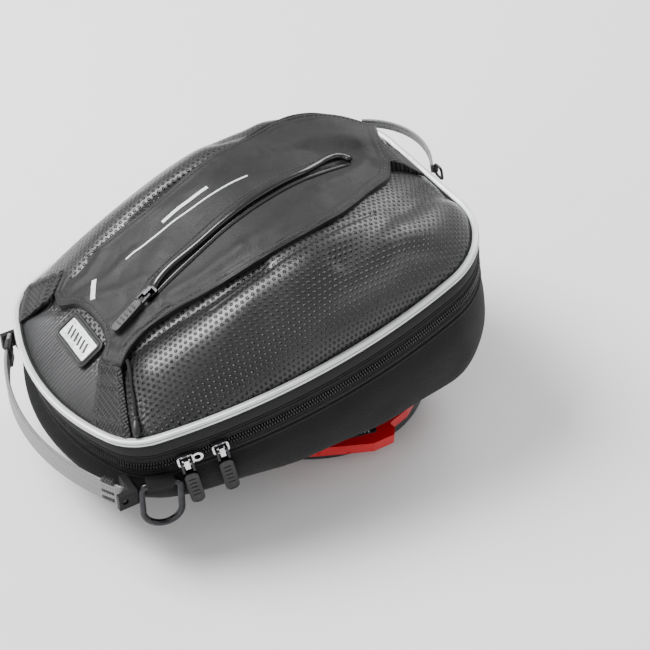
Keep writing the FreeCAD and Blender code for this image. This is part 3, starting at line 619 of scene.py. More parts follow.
MATERIALS = {
    "shell": moulded_shell(),
    "panel": cloth("panel_fabric", grey(0.008, 0.0085), grey(0.019, 0.020), 0.9, 0.52, 0.04, 0.45, 0.0004, 0.06,
                   18.0),
    "body": cloth("body_fabric", grey(0.005, 0.0055), grey(0.010, 0.011), 1.5, 0.85, 0.05, 0.6, 0.0005, 0.10),
    "band": cloth("band_fabric", grey(0.010, 0.011), grey(0.018, 0.019), 1.3, 0.85, 0.05, 0.5, 0.0004, 0.12),
    "tape": cloth("zip_tape", grey(0.005, 0.006), grey(0.012, 0.013), 1.0, 0.85, 0.05, 0.5),
    "binding": cloth("binding", grey(0.004, 0.0045), grey(0.010, 0.011), 1.0, 0.65, 0.04, 0.4),
    "lining": cloth("lining", grey(0.10, 0.105), grey(0.17, 0.18), 1.2, 0.9, 0.2, 0.5, 0.0004, 0.12),
    "webbing": ribbed_webbing("webbing", grey(0.004, 0.0045), grey(0.009, 0.0095), 1.8, 0.6, 0.02),
    "pale_webbing": ribbed_webbing("handle_webbing", grey(0.13, 0.133), grey(0.30, 0.305), 1.2),
    "piping": reflective_piping(),
    "welt": plastic("welt", grey(0.004, 0.0045), grey(0.008, 0.009), 0.26, 600, 0.1, 0.3),
    "thread": cloth("thread", grey(0.03, 0.032), grey(0.10, 0.103), 0.4, 0.7, 0.1, 0.4, 0.0001),
    "coil": plastic("coil", grey(0.010, 0.011), grey(0.022, 0.023), 0.32, 700, 0.1),
    "black": plastic("black_plastic", grey(0.008, 0.009), grey(0.015, 0.016), 0.5),
    "grey": plastic("grey_plastic", grey(0.024, 0.025), grey(0.040, 0.042), 0.5),
    "red": plastic("red_plastic", (0.52, 0.004, 0.008), (0.60, 0.008, 0.014), 0.30, 500, 0.08, 0.3),
    "rubber": plastic("rubber", grey(0.006, 0.0065), grey(0.013, 0.014), 0.48, 1200, 0.2),
    "mark": plastic("mark", (0.66, 0.67, 0.68), (0.80, 0.81, 0.82), 0.4, 800, 0.15),
    "steel": metal("steel", grey(0.72, 0.74), 0.14),
    "gunmetal": metal("gunmetal", grey(0.045, 0.048), 0.22),
    "badge": metal("badge_metal", (0.86, 0.87, 0.89), 0.22, 0.16, True),
}


# ---------------------------------------------------------------- the lid

def dome_shell(grow, wall, relief, columns=400, rows=110):
    """The lid's closed shell: rays from the crest to the rim, evenly spaced along the surface."""
    crest = np.array([CREST, 0.0])
    rim, _ = rim_at(np.linspace(0, RIM_LENGTH, columns, endpoint=False))
    scale = np.array([(HALF_LENGTH + grow) / HALF_LENGTH, (HALF_WIDTH + grow) / HALF_WIDTH])
    rim = rim * scale
    fine = 1 - np.linspace(1, 0, 260) ** 2.4
    plan = crest + fine[:, None, None] * (rim - crest)[None]
    height = dome_height(plan[..., 0], plan[..., 1], grow)
    height[-1] = 0
    full = np.dstack([plan, height])
    run = np.concatenate([np.zeros((1, columns)), np.cumsum(np.linalg.norm(np.diff(full, axis=0), axis=2), 0)])
    picked = np.empty((rows, columns, 3))
    length = np.empty((rows, columns))
    share = np.linspace(0.012, 1, rows)
    for c in range(columns):
        length[:, c] = share * run[-1, c]
        for k in range(3):
            picked[:, c, k] = np.interp(length[:, c], run[:, c], full[:, c, k])
    across = np.roll(picked, -1, 1) - np.roll(picked, 1, 1)
    down = np.gradient(picked, axis=0)
    normal = np.cross(down, across)
    normal /= np.linalg.norm(normal, axis=2, keepdims=True) + 1e-12
    normal *= np.sign(normal[..., 2:].mean())
    lift = relief(picked[..., 0], picked[..., 1])[..., None]
    outer = picked + normal * lift
    inner = picked + normal * (np.minimum(lift, 0) - wall)
    inner[..., 2] = np.maximum(inner[..., 2], 0.0)
    both = np.concatenate([outer, inner[::-1]])
    ray = (rim - crest) / np.linalg.norm(rim - crest, axis=1, keepdims=True)
    flat = crest + length[..., None] * ray[None]
    flat = np.concatenate([flat, flat[::-1]])
    uv = np.concatenate([flat, flat[:, :1]], 1)
    return capped(placed(both), uv)


def make_lid_shell():
    """The moulded shell and the quilted lining inside it."""
    piece("lid_moulding", dome_shell(SHELL_GROW, 2.4, shell_relief), "lid", MATERIALS["shell"],
          ["lid_shell"])
    lining = dome_shell(SHELL_GROW - 3.2, 0.8, lining_relief, 240, 60)
    piece("lid_lining_cloth", lining, "lid", MATERIALS["lining"], ["lid_lining"])


def make_piping_and_band():
    """The silver bead round the rim, a dark cord in its middle groove as painted shade, its gasket, and the woven
    band with a cord at each edge.
    """
    bead = 1.15
    turn = np.radians(np.linspace(110, -70, 9))
    upper = [(0.7 + bead * math.cos(a), 1.15 + bead * math.sin(a)) for a in turn]
    lower = [(x, -w) for x, w in upper[::-1]]
    profile = upper + lower + [(-1.9, -1.9), (-2.2, -0.9), (-2.2, 0.9), (-1.9, 1.9)]
    piece("silver_piping", rim_sweep(profile), "lid", MATERIALS["piping"], ["lid_piping"])
    # Painted shade: a dark cord laid in the groove between the bead's two halves darkens the groove's middle line.
    thread = [(x + 1.05, y) for x, y in circle_profile(0.42, 8)]
    piece("piping_groove_shade", rim_sweep(thread), "lid", MATERIALS["binding"])
    gasket = [(x - 2.9, y + 0.9) for x, y in circle_profile(0.9, 8)]
    piece("shell_edge_binding", rim_sweep(gasket), "lid", MATERIALS["binding"])
    top, bottom = -2.9, -13.0
    face = [(-0.6, top), (0.1, top - 0.5), (0.55, -5.4), (0.7, -7.8), (0.55, -10.2), (0.1, bottom + 0.5),
            (-0.6, bottom)]
    piece("edge_band", rim_sweep(face + [(-1.9, bottom), (-1.9, top)]), "lid", MATERIALS["band"],
          ["lid_band"])
    for level, name in ((-3.4, "band_cord_upper"), (-12.5, "band_cord_lower")):
        ring = [(x + 0.1, y + level) for x, y in circle_profile(0.75, 8)]
        piece(name, rim_sweep(ring), "lid", MATERIALS["binding"])


TEETH = 470
# One tooth, from the zip's line to its tape: height, half width, and how far in and out it reaches.
TOOTH_STEPS = ((0.1, 0.28, -2.2, -0.5), (0.45, 0.42, -2.3, 0.15), (1.6, 0.42, -2.3, 0.35), (2.5, 0.36, -2.3, 0.0),
               (2.7, 0.25, -2.2, -0.7))


def zip_teeth(level, side, shift):
    """One row of the zip's coil: a rounded wedge for each tooth, all round the rim."""
    pitch = RIM_LENGTH / TEETH
    parts = []
    for index in range(TEETH):
        point, normal = rim_at((index + shift) * pitch)
        along = np.array([-normal[1], normal[0]])
        rings = []
        for up, half, low, high in TOOTH_STEPS:
            corners = ((-half, low), (half, low), (half, high - 0.25), (half * 0.5, high), (-half * 0.5, high),
                       (-half, high - 0.25))
            ring = []
            for a, out in corners:
                spot = point + normal * out + along * a
                ring.append((spot[0], spot[1], level + side * up))
            rings.append(ring if side > 0 else ring[::-1])
        rings = placed(np.array(rings))
        parts.append(capped(rings))
    return merged(parts)


def make_zip():
    """Both halves of the zip: a tape, its row of teeth and two woven ribs for each."""
    line = -22.0
    for name, body, side, low, high, cad in (("upper", "lid", 1, line + 2.3, -13.2, "zip_upper"),
                                             ("lower", "bag", -1, -31.0, line - 2.3, "zip_lower")):
        tape = [(-0.8, low), (-0.75, (low + high) / 2), (-0.8, high), (-2.2, high), (-2.2, low)]
        piece("zip_tape_" + name, rim_sweep(tape), body, MATERIALS["tape"], [cad])
        piece("zip_coil_" + name, zip_teeth(line, side, 0.25 * side), body, MATERIALS["coil"])
        for offset in (0.9, 3.6):
            level = line + side * (2.7 + offset)
            cord = [(x - 0.75, y + level) for x, y in circle_profile(0.32, 6)]
            rib = f"tape_rib_{name}_{round(offset)}"
            piece(rib, rim_sweep(cord, 300), body, MATERIALS["band"])


# ---------------------------------------------------------------- the pocket panel and the straps sewn to it

REAR_LIFT = 11.0
SLIT = [(-57.0 + 145.0 * share, -12.2 + 17.2 * share) for share in (0, 0.25, 0.5, 0.75, 1)]
NEAR_EDGE = [(-97.5, -36.5), (-88, -31.5), (-77, -29.5), (-58, -32.5), (-34, -38.5), (-4, -43.5), (34, -45),
             (56, -41), (82, -29), (104, -17), (113.5, -4)]
FAR_EDGE = [(-101.5, 47.5), (-94, 53), (-84, 56), (-60, 50.5), (-30, 48), (0, 51), (36, 56), (72, 59), (103, 49),
            (127, 33)]
FRONT_EDGE = [(-97.5, -36.5), (-104.5, -22.5), (-96.5, -16), (-93, -4), (-93, 12), (-96, 26), (-103, 36),
              (-101.5, 47.5)]
REAR_EDGE = [(113.5, -4), (119, 14), (127, 33)]


# The panel's broad folds: the line each runs along, its width and its height.
PANEL_FOLDS = (
    ([(-92, -20), (-76, -16), (-62, -20)], 3.2, 1.5),
    ([(-90, -26), (-74, -22), (-58, -27)], 2.6, 1.1),
    ([(-88, 22), (-72, 8), (-58, 2)], 4.5, 1.2),
    ([(-92, 30), (-74, 24), (-52, 26)], 4.0, 1.0),
    ([(-94, 40), (-80, 38), (-66, 44)], 3.4, 1.2),
    ([(-90, -6), (-80, -9), (-70, -8)], 3.0, 1.0),
    ([(-52, -22), (-30, -27), (-6, -28)], 5.0, 1.6),
    ([(0, -30), (30, -30), (52, -24)], 7.0, 1.2),
    ([(-30, 40), (0, 36), (28, 44)], 6.0, 1.0),
    ([(60, -12), (86, -6), (104, 2)], 5.0, 1.4),
    ([(50, 40), (80, 34), (104, 20)], 6.5, 1.6),
    ([(-46, 8), (-30, 16), (-16, 30)], 6.0, 0.7),
)


def panel_lift(u, v):
    """How far the panel's wide far corner stands off the lid."""
    return REAR_LIFT * smooth_step(0.8 * u + 0.6 * v, 72, 110)


def panel_height(u, v):
    """The panel's top: it follows the dome, with hems, the slit's trough and a few wrinkles."""
    height = dome_height(u, v, PANEL_GROW)
    height += panel_lift(u, v)
    hems = [NEAR_EDGE, FAR_EDGE, REAR_EDGE, FRONT_EDGE]
    from_edge = np.minimum.reduce([near_line(u, v, edge) for edge in hems])
    height += 0.55 * (1 - smooth_step(from_edge, 4.2, 6.4)) - 0.5 * np.exp(-((from_edge - 3.0) / 0.8) ** 2)
    height -= 0.7 * np.exp(-(from_edge / 0.9) ** 2)
    height -= 1.5 * (1 - smooth_step(near_line(u, v, SLIT), 1.6, 3.4))
    beside = [(u0, v0 + 8.5) for u0, v0 in SLIT]
    height += ridge(u, v, beside, 1.3, 0.7)
    height += ridge(u, v, [(-66, -14), (-61, -6), (-50, -3.4)], 1.4, 0.7)
    for line, width, tall in PANEL_FOLDS:
        height += ridge(u, v, line, width, tall)
    height += 0.5 * np.sin(u / 11 + v / 17) * np.sin(v / 13 - u / 29)
    return height


def lid_normals(u, v, step=2.0):
    """Outward unit normals of the smooth dome in the shared frame."""
    slope_u = (dome_height(u + step, v, PANEL_GROW) - dome_height(u - step, v, PANEL_GROW)) / (2 * step)
    slope_v = (dome_height(u, v + step, PANEL_GROW) - dome_height(u, v - step, PANEL_GROW)) / (2 * step)
    local = np.stack([-slope_u, -slope_v, np.ones(np.shape(u))], -1)
    local /= np.linalg.norm(local, axis=-1, keepdims=True)
    return local @ np.array(LID.to_3x3()).T


def on_panel(line, lift=0.0, count=80, top=panel_height):
    """A line of (u, v) points laid on the panel: points in the shared frame and the normals there."""
    plan = smooth_path(line, count)
    height = top(plan[:, 0], plan[:, 1]) + lift
    return placed(np.column_stack([plan, height])), lid_normals(plan[:, 0], plan[:, 1])


def shifted(line, amount):
    """A line moved sideways by amount, to its left."""
    path = smooth_path(line, 60)
    along = np.gradient(path, axis=0)
    along /= np.linalg.norm(along, axis=1, keepdims=True)
    return path + amount * np.stack([-along[:, 1], along[:, 0]], 1)


def stitch_line(name, line, top=panel_height):
    """A row of stitches along a line of (u, v) points."""
    path, normals = on_panel(line, 0.0, 120, top)
    threads = capsules(path, normals, pitch=2.9 * MM, long=2.1 * MM, radius=0.3 * MM, lift=0.05 * MM)
    piece(name, threads, "lid", MATERIALS["thread"])


def laid_tube(name, line, profile, material, lift=0.0, count=90):
    """A profile carried along a line laid on the panel."""
    path, normals = on_panel(line, lift, count)
    points, uv = tube(path, normals, [(s * MM, o * MM) for s, o in profile])
    return piece(name, capped(points, uv / MM), "lid", material)


def make_panel():
    """The pocket panel with its hem stitches, and the slit with its welt, lip, teeth and stitches."""
    columns, rows = 190, 96
    sides = [smooth_path(edge, columns) for edge in (NEAR_EDGE, FAR_EDGE)]
    ends = [smooth_path(edge, rows) for edge in (FRONT_EDGE, REAR_EDGE)]
    plan = coons(*sides, *ends)
    u, v = plan[..., 0], plan[..., 1]
    top = panel_height(u, v)
    bottom = np.minimum(top - 2.0, dome_height(u, v, PANEL_GROW) - SEWN_DEPTH + 0.8 * panel_lift(u, v))
    piece("panel_cloth", slab(plan, top, bottom), "lid", MATERIALS["panel"], ["pocket_panel"],
          rounded=0.5)
    hem = 2.9
    for name, edge, inward in (("near", NEAR_EDGE, hem), ("far", FAR_EDGE, -hem), ("rear", REAR_EDGE, hem)):
        stitch_line("hem_stitches_" + name, shifted(edge, inward))
    stitch_line("notch_stitches", shifted(FRONT_EDGE[1:7], -hem))
    far_lip = [(u, v + 3.6) for u, v in SLIT]
    laid_tube("slit_welt", [(-62, -12.6), *[(u + 3, v) for u, v in far_lip], (92, 6.0)],
              circle_profile(2.3, 14, 0.8), MATERIALS["welt"], lift=0.9)
    near_lip = [(u, v - 2.9) for u, v in SLIT]
    lip = circle_profile(1.0, 10, 0.8)
    laid_tube("slit_lip", near_lip, lip, MATERIALS["binding"], lift=0.4)
    teeth = circle_profile(1.1, 8, 0.7)
    laid_tube("slit_coil", SLIT, teeth, MATERIALS["coil"], lift=0.2, count=160)
    stitch_line("slit_stitches", [(u, v + 10.6) for u, v in SLIT])


def along_both(edges, share):
    """The points this share of the way from the start to the end of each edge, taken as straight."""
    return [tuple(np.array(edge[0]) + share * (np.array(edge[-1]) - np.array(edge[0]))) for edge in edges]


def strap_plan(inner, outer, columns=44, rows=24):
    """A grid of (u, v) between a strap's two long edges."""
    return coons(smooth_path(inner, columns), smooth_path(outer, columns),
                 np.linspace(inner[0], outer[0], rows), np.linspace(inner[-1], outer[-1], rows))


def make_front_leg(name, side):
    """One front leg of the panel: webbing folded over itself, sewn with a box of stitches."""
    inner = [(-105.5, side * 22), (-114, side * 33), (-123, side * 43), (-130, side * 51)]
    outer = [(-97.5, side * 37), (-103.5, side * 50), (-109.5, side * 63), (-115.5, side * 76)]
    if side > 0:
        inner = [(-103, 47), (-111, 50), (-120, 52.5), (-129, 54.5)]
        outer = [(-88, 57), (-95, 65), (-102, 72.5), (-110, 80)]

    def top(u, v):
        height = dome_height(u, v, PANEL_GROW)
        height -= 0.5 * np.exp(-(np.minimum(near_line(u, v, inner), near_line(u, v, outer)) / 1.0) ** 2)
        fold = [(outer[0][0] - 3, outer[0][1]), (outer[-1][0] - 3, outer[-1][1] - side * 3)]
        height += ridge(u, v, fold, 1.8, 1.0)
        for share, tall in ((0.06, 1.3), (0.30, 0.7), (0.86, 1.1)):
            ends = along_both((inner, outer), share)
            height += ridge(u, v, ends, 1.5, tall)
            height -= ridge(u, v, [(e[0] - 2.4, e[1] + side * 2.8) for e in ends], 1.0, 0.5)
        return height

    plan = strap_plan(inner, outer)
    if side < 0:
        plan = plan[::-1]
    base = dome_height(plan[..., 0], plan[..., 1], PANEL_GROW) - SEWN_DEPTH
    piece("leg_webbing_" + name, slab(plan, top(plan[..., 0], plan[..., 1]), base), "lid", MATERIALS["webbing"],
          ["strap_front_" + name], rounded=0.5)
    inner_line = np.array(inner) + (np.array(outer) - np.array(inner)) * 0.14
    outer_line = np.array(inner) + (np.array(outer) - np.array(inner)) * 0.80
    stitch_line(f"leg_stitches_{name}_inner", inner_line, top)
    stitch_line(f"leg_stitches_{name}_outer", outer_line, top)
    for share in (0.33, 0.80):
        ends = along_both((inner_line, outer_line), share)
        stitch_line(f"leg_stitches_{name}_{round(share * 100)}", ends, top)


def make_rear_tab():
    """The panel's single tab at the wide end."""
    near = [(110, -2), (122, -6), (133, -9.5)]
    far = [(120, 25), (127, 24.5), (133.5, 24)]

    def top(u, v):
        height = dome_height(u, v, PANEL_GROW)
        height += 0.9 * panel_lift(u, v) * (1 - smooth_step(u, 114, 132))
        return height - 0.5 * np.exp(-(np.minimum(near_line(u, v, near), near_line(u, v, far)) / 1.0) ** 2)

    plan = strap_plan(near, far, 26, 30)
    base = dome_height(plan[..., 0], plan[..., 1], PANEL_GROW) - SEWN_DEPTH
    piece("rear_tab_webbing", slab(plan, top(plan[..., 0], plan[..., 1]), base), "lid", MATERIALS["webbing"],
          ["strap_rear"], rounded=0.5)
    stitch_line("rear_tab_stitches", [(121, -5), (122, 24)], top)


def surface_frame(u, v, lift, reach=6.0):
    """A placement on the shell at (u, v): Z along its normal, X along u."""
    height = lambda a, b: float(dome_height(np.array([a]), np.array([b]))[0])
    along = Vector((2 * reach, 0, height(u + reach, v) - height(u - reach, v)))
    across = Vector((0, 2 * reach, height(u, v + reach) - height(u, v - reach)))
    normal = along.cross(across).normalized()
    x = along.normalized()
    y = normal.cross(x)
    turned = Matrix((x, y, normal)).transposed().to_4x4()
    origin = (Vector((u, v, height(u, v))) + normal * lift) * MM
    return LID @ Matrix.Translation(origin) @ turned


def rounded_rectangle(wide, long, corner, steps=5):
    """Points round a rectangle with rounded corners, centred on the origin."""
    points = []
    for sx, sy, start in ((1, 1, 0), (-1, 1, 90), (-1, -1, 180), (1, -1, 270)):
        for angle in np.radians(start + np.linspace(0, 90, steps)):
            points.append((sx * (wide / 2 - corner) + corner * math.cos(angle),
                           sy * (long / 2 - corner) + corner * math.sin(angle)))
    return np.array(points)


def stepped_block(rings, place):
    """A closed solid from stacked rounded rectangles: (wide, long, corner, height) for each."""
    inset = 0.3
    wide, long, corner, height = rings[-1]
    rings = list(rings) + [(wide - inset, long - inset, corner, height)]
    loops = np.array([[(x, y, height) for x, y in rounded_rectangle(wide, long, corner)]
                      for wide, long, corner, height in rings])
    return capped(placed(loops, place))


def make_badge():
    """A rubber frame with two raised ridges and a brushed plate that carries plain slanted bars."""
    place = surface_frame(-106, 2, 0.6)
    wide, long = 20.0, 38.0
    steps = [(0.0, 3.4, 0.0), (0.0, 3.4, 1.5), (0.35, 3.2, 1.9), (0.9, 3.0, 1.9), (1.25, 2.8, 1.3), (1.5, 2.7, 1.3),
             (1.85, 2.5, 2.5), (2.5, 2.2, 2.6), (3.0, 2.0, 2.2), (3.1, 1.9, 0.9)]
    rings = [(wide - 2 * inset, long - 2 * inset, corner, height) for inset, corner, height in steps]
    piece("badge_surround", stepped_block(rings, place), "lid", MATERIALS["rubber"], ["badge_frame"])
    plate = [(wide - 6.8, long - 6.8, 1.2, 1.0), (wide - 6.8, long - 6.8, 1.2, 1.7),
             (wide - 7.4, long - 7.4, 1.0, 2.0)]
    piece("badge_face", stepped_block(plate, place), "lid", MATERIALS["badge"], ["badge_plate"])
    slant = Matrix.Rotation(math.radians(24), 4, "Z")
    bar = [(6.4, 1.5, 0.5, 1.8), (6.4, 1.5, 0.5, 2.15), (6.0, 1.1, 0.4, 2.3)]
    bars = []
    for index in range(6):
        spot = Matrix.Translation((0, (-10.0 + 4.0 * index) * MM, 0)) @ slant
        bars.append(stepped_block(bar, place @ spot))
    piece("badge_bars", merged(bars), "lid", MATERIALS["black"])


def make_marks():
    """Plain reflective bars on the panel in place of the printed marks."""
    for index, (start, end, width) in enumerate((((-58, 24), (30, 22), 1.3), ((-28, 29), (6, 30), 2.6))):
        profile = rounded_profile(width, 0.36, 0.15)
        laid_tube(f"print_bar_{index}", [start, end], profile, MATERIALS["mark"], lift=0.12, count=120)
    laid_tube("print_dash", [(-87, 17), (-79, 30)], rounded_profile(3.4, 0.36, 0.15), MATERIALS["mark"],
              lift=0.12)


# ---------------------------------------------------------------- cord

CORD_RADIUS = 1.0
CORD_LIFT = CORD_RADIUS + 0.9
CORD_ROUTE = [(-92.5, -36.4), (-95.0, -44.6), (-99.5, -52.4), (-102.5, -60.8), (-107.0, -68.4)]


def make_cord():
    """The short limp cord beside the near front leg, and its moulded tip."""
    plan = np.array(CORD_ROUTE)
    height = dome_height(plan[:, 0], plan[:, 1]) + CORD_LIFT
    points = placed(np.column_stack([plan, height]))
    curve = bpy.data.curves.new("pull_cord_line", "CURVE")
    curve.dimensions = "3D"
    curve.bevel_depth = CORD_RADIUS * MM
    curve.bevel_resolution = 4
    curve.use_fill_caps = True
    spline = curve.splines.new("NURBS")
    spline.points.add(len(points) - 1)
    for spot, point in zip(spline.points, points):
        spot.co = (*point, 1)
    spline.order_u = 3
    spline.use_endpoint_u = True
    spline.resolution_u = 16
    cord = bpy.data.objects.new("pull_cord_line", curve)
    bpy.context.scene.collection.objects.link(cord)
    curve.materials.append(MATERIALS["binding"])
    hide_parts("pull_cord")
    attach(cord, "lid")
    along = Vector(points[-1] - points[-2]).normalized()
    place = Matrix.Translation(Vector(points[-1])) @ along.to_track_quat("Z", "Y").to_matrix().to_4x4()
    profile = [(0.9, -1.0), (1.5, -0.8), (1.7, 0.2), (1.7, 0.8), (1.45, 1.1), (2.0, 2.4), (2.45, 4.4), (2.6, 6.4),
               (2.3, 8.6), (1.6, 10.4), (0.8, 11.0)]
    shape = lathe(profile, place, 24)
    tip = piece("cord_tip_moulding", shape, "lid", MATERIALS["rubber"], ["cord_tip"])


# ---------------------------------------------------------------- the bag's body

FLOOR = -80.0
BODY_SECTIONS = [
    # narrow end, wide end, half width, lean, level, shift along x
    (0.8 - HALF_LENGTH, HALF_LENGTH - 0.8, HALF_WIDTH - 0.8, TILT, -30.45, 5.8),
    (1 - HALF_LENGTH, HALF_LENGTH + 8, HALF_WIDTH + 2, 7.5, 0.58 * FLOOR, 0.0),
    (6 - HALF_LENGTH, HALF_LENGTH + 10, HALF_WIDTH, 4.5, 0.75 * FLOOR, 0.0),
    (14 - HALF_LENGTH, HALF_LENGTH + 6, HALF_WIDTH - 5, 1.8, 0.90 * FLOOR, 0.0),
    (24 - HALF_LENGTH, HALF_LENGTH - 3, HALF_WIDTH - 13, 0.6, 0.975 * FLOOR, 0.0),
    (36 - HALF_LENGTH, HALF_LENGTH - 14, HALF_WIDTH - 24, 0.0, FLOOR, 0.0),
]


def body_rings(rows, columns):
    """The body's outer wall from mouth to floor edge, as rings of points about the rim's centre."""
    keys = smooth_path(BODY_SECTIONS, rows)
    rim, _ = rim_at(np.linspace(0, RIM_LENGTH, columns, endpoint=False))
    rings = []
    for narrow, wide, half, lean, level, shift in keys:
        x = rim[:, 0] * (wide - narrow) / (2 * HALF_LENGTH) + (wide + narrow) / 2
        y = rim[:, 1] * half / HALF_WIDTH
        angle = math.radians(lean)
        rings.append(np.column_stack([x * math.cos(angle) + shift, y, x * math.sin(angle) + level]))
    return np.array(rings)


def make_body():
    """The fabric tub: an even wall that swells a little between its mouth and its floor."""
    rows, columns, wall = 60, 360, 2.3
    rings = body_rings(rows, columns)
    down = np.gradient(rings, axis=0)
    across = np.roll(rings, -1, 1) - np.roll(rings, 1, 1)
    normal = np.cross(across, down)
    normal /= np.linalg.norm(normal, axis=2, keepdims=True)
    if (normal[5, :, 1] * rings[5, :, 1]).sum() < 0:
        normal = -normal
    run = np.linspace(0, RIM_LENGTH, columns, endpoint=False)
    turn = 2 * math.pi * run / RIM_LENGTH
    share = np.linspace(0, 1, rows)[:, None]
    sag = 0.5 * np.sin(5 * turn + 9 * share) * np.sin(7 * turn + 1.3) * np.sin(math.pi * share)
    sag += 0.35 * np.sin(13 * turn - 6 * share) * np.sin(math.pi * share) ** 2
    outer = rings + normal * sag[..., None]
    floor = []
    for scale in (0.93, 0.8, 0.6, 0.35, 0.1):
        ring = outer[-1].copy()
        ring[:, :2] = ring[:, :2].mean(0) + (ring[:, :2] - ring[:, :2].mean(0)) * scale
        ring[:, 2] = FLOOR
        floor.append(ring)
    inner_wall = rings[::-1] - normal[::-1] * wall
    inner_floor = [np.column_stack([ring[:, :2], ring[:, 2] + wall]) for ring in floor[::-1]]
    inner_wall[:4, :, 2] = np.maximum(inner_wall[:4, :, 2], FLOOR + wall)
    points = placed(np.concatenate([inner_floor, inner_wall, outer, floor]), BAG)
    drop = run_along(points[:, 0]) / MM
    uv = np.stack(np.meshgrid(np.append(run, RIM_LENGTH), drop), -1)
    piece("body_cloth", capped(points, uv), "bag", MATERIALS["body"], ["body_shell"])
    seam_row = int(rows * 0.80)
    for index, row in enumerate((1, seam_row)):
        path = placed(outer[row], BAG)
        looped = np.concatenate([path, path[:1]])
        normals = np.concatenate([normal[row], normal[row][:1]])
        section = [(s * MM, o * MM) for s, o in circle_profile(1.1, 8, 0.8)]
        rings, _ = tube(looped, normals, section)
        piece(f"body_seam_{index}", surface(rings[:-1], close_rows=True, close_cols=True), "bag",
              MATERIALS["binding"])


def make_hinge_cloth():
    """The fabric at the wide end that joins the lid to the bag, inside the zip."""
    across, up = np.linspace(-36, 36, 40), np.linspace(-30, -13.5, 14)
    sheets = []
    for depth in (0.0, -0.9):
        grid_points = np.array([[(HALF_LENGTH - 4.2 + depth - 0.8 * math.sin(math.pi * (w + 30) / 16.5), v, w)
                                 for v in across] for w in up])
        sheets.append(placed(grid_points))
    points = np.concatenate([sheets[0], sheets[1][::-1]])
    vertices, faces, _ = surface(points, None, close_rows=True)
    ends, cols = len(up), len(across)
    for c in (0, cols - 1):
        for r in range(ends - 1):
            ring = [row * cols + c for row in (r, r + 1, 2 * ends - 2 - r, 2 * ends - 1 - r)]
            faces.append(ring if c == 0 else ring[::-1])
    shape = (vertices, faces, None)
    hinge = piece("hinge_cloth", shape, None, MATERIALS["tape"], ["hinge_strip"])
    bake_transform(hinge)


# ---------------------------------------------------------------- straps, tabs and hardware

def arc_points(ends, apex, count):
    """Points on the arc through two ends and its apex, all at one height, with outward normals."""
    a, b, c = np.array(ends[0][:2]), np.array(apex[:2]), np.array(ends[1][:2])
    matrix = 2 * np.array([b - a, c - a])
    centre = np.linalg.solve(matrix, np.array([b @ b - a @ a, c @ c - a @ a]))
    radius = np.linalg.norm(a - centre)
    angles = np.unwrap(np.arctan2(*(np.array([a, b, c]) - centre).T[::-1]))
    sweep = np.linspace(angles[0], angles[2], count)
    outward = np.stack([np.cos(sweep), np.sin(sweep)], 1)
    return centre, radius, outward


def arc_strap(name, ends, apex, wide, thick, place, material, body, stands_for, ribs=3, trim=(0.0, 1.0)):
    """A strap on edge along an arc, its width upright."""
    count = 120
    centre, radius, outward = arc_points(ends, apex, count)
    first, last = int(trim[0] * (count - 1)), int(trim[1] * (count - 1)) + 1
    middle = centre + outward * (radius - thick / 2)
    level = ends[0][2] + wide / 2
    path = np.column_stack([middle, np.full(count, level)])[first:last]
    normals = np.column_stack([outward, np.zeros(count)])[first:last]
    world = placed(path, place)
    turned = normals @ np.array(place.to_3x3()).T
    profile = [(s * MM, o * MM) for s, o in rounded_profile(wide, thick, 0.9, 0.0, 3, ribs)]
    points, uv = tube(world, turned, profile)
    return piece(name, capped(points, uv / MM), body, material, stands_for)


HANDLE_END_X, HANDLE_HALF, HANDLE_REACH, HANDLE_LEVEL, HANDLE_WIDE = -124.5, 80.0, 149.0, -64.0, 15.0


def make_handle():
    """The carry strap across the narrow end, the wraps at its ends and the pins it swings on."""
    ends = [(HANDLE_END_X, -HANDLE_HALF, HANDLE_LEVEL), (HANDLE_END_X, HANDLE_HALF, HANDLE_LEVEL)]
    apex = (-HANDLE_REACH, 0, HANDLE_LEVEL)
    arc_strap("handle_strap", ends, apex, HANDLE_WIDE, 2.2, BAG, MATERIALS["pale_webbing"],
              "front_handle", ["front_handle"])
    for name, trim in (("near", (0.034, 0.09)), ("far", (0.91, 0.966))):
        arc_strap("handle_end_" + name, ends, apex, HANDLE_WIDE + 1.6, 3.8, BAG, MATERIALS["webbing"],
                  "front_handle", (), 2, trim)
    middle = HANDLE_LEVEL + HANDLE_WIDE / 2
    for name, side in (("near", -1), ("far", 1)):
        turn = Matrix.Rotation(math.radians(-90 * side), 4, "X")
        place = BAG @ Matrix.Translation(Vector((HANDLE_END_X, side * (HANDLE_HALF - 2), middle)) * MM) @ turn
        profile = [(1.2, 0.0), (1.6, 0.4), (1.6, 5.0), (1.2, 5.4)]
        piece("handle_pin_" + name, lathe(profile, place, 20), "front_handle", MATERIALS["gunmetal"])


def joint_named(name):
    return [joint for joint in frame["joints"] if joint["name"] == name][0]


def joint_frame(name, up):
    """The frame of a ring or pull on its hinge: X along the bar, Y up, Z outwards."""
    joint = joint_named(name)
    x = -Vector(joint["axis"]).normalized()
    y = Vector(up).normalized()
    z = x.cross(y).normalized()
    turn = Matrix((x, z.cross(x), z)).transposed().to_4x4()
    return Matrix.Translation(Vector(joint["pos_m"])) @ turn


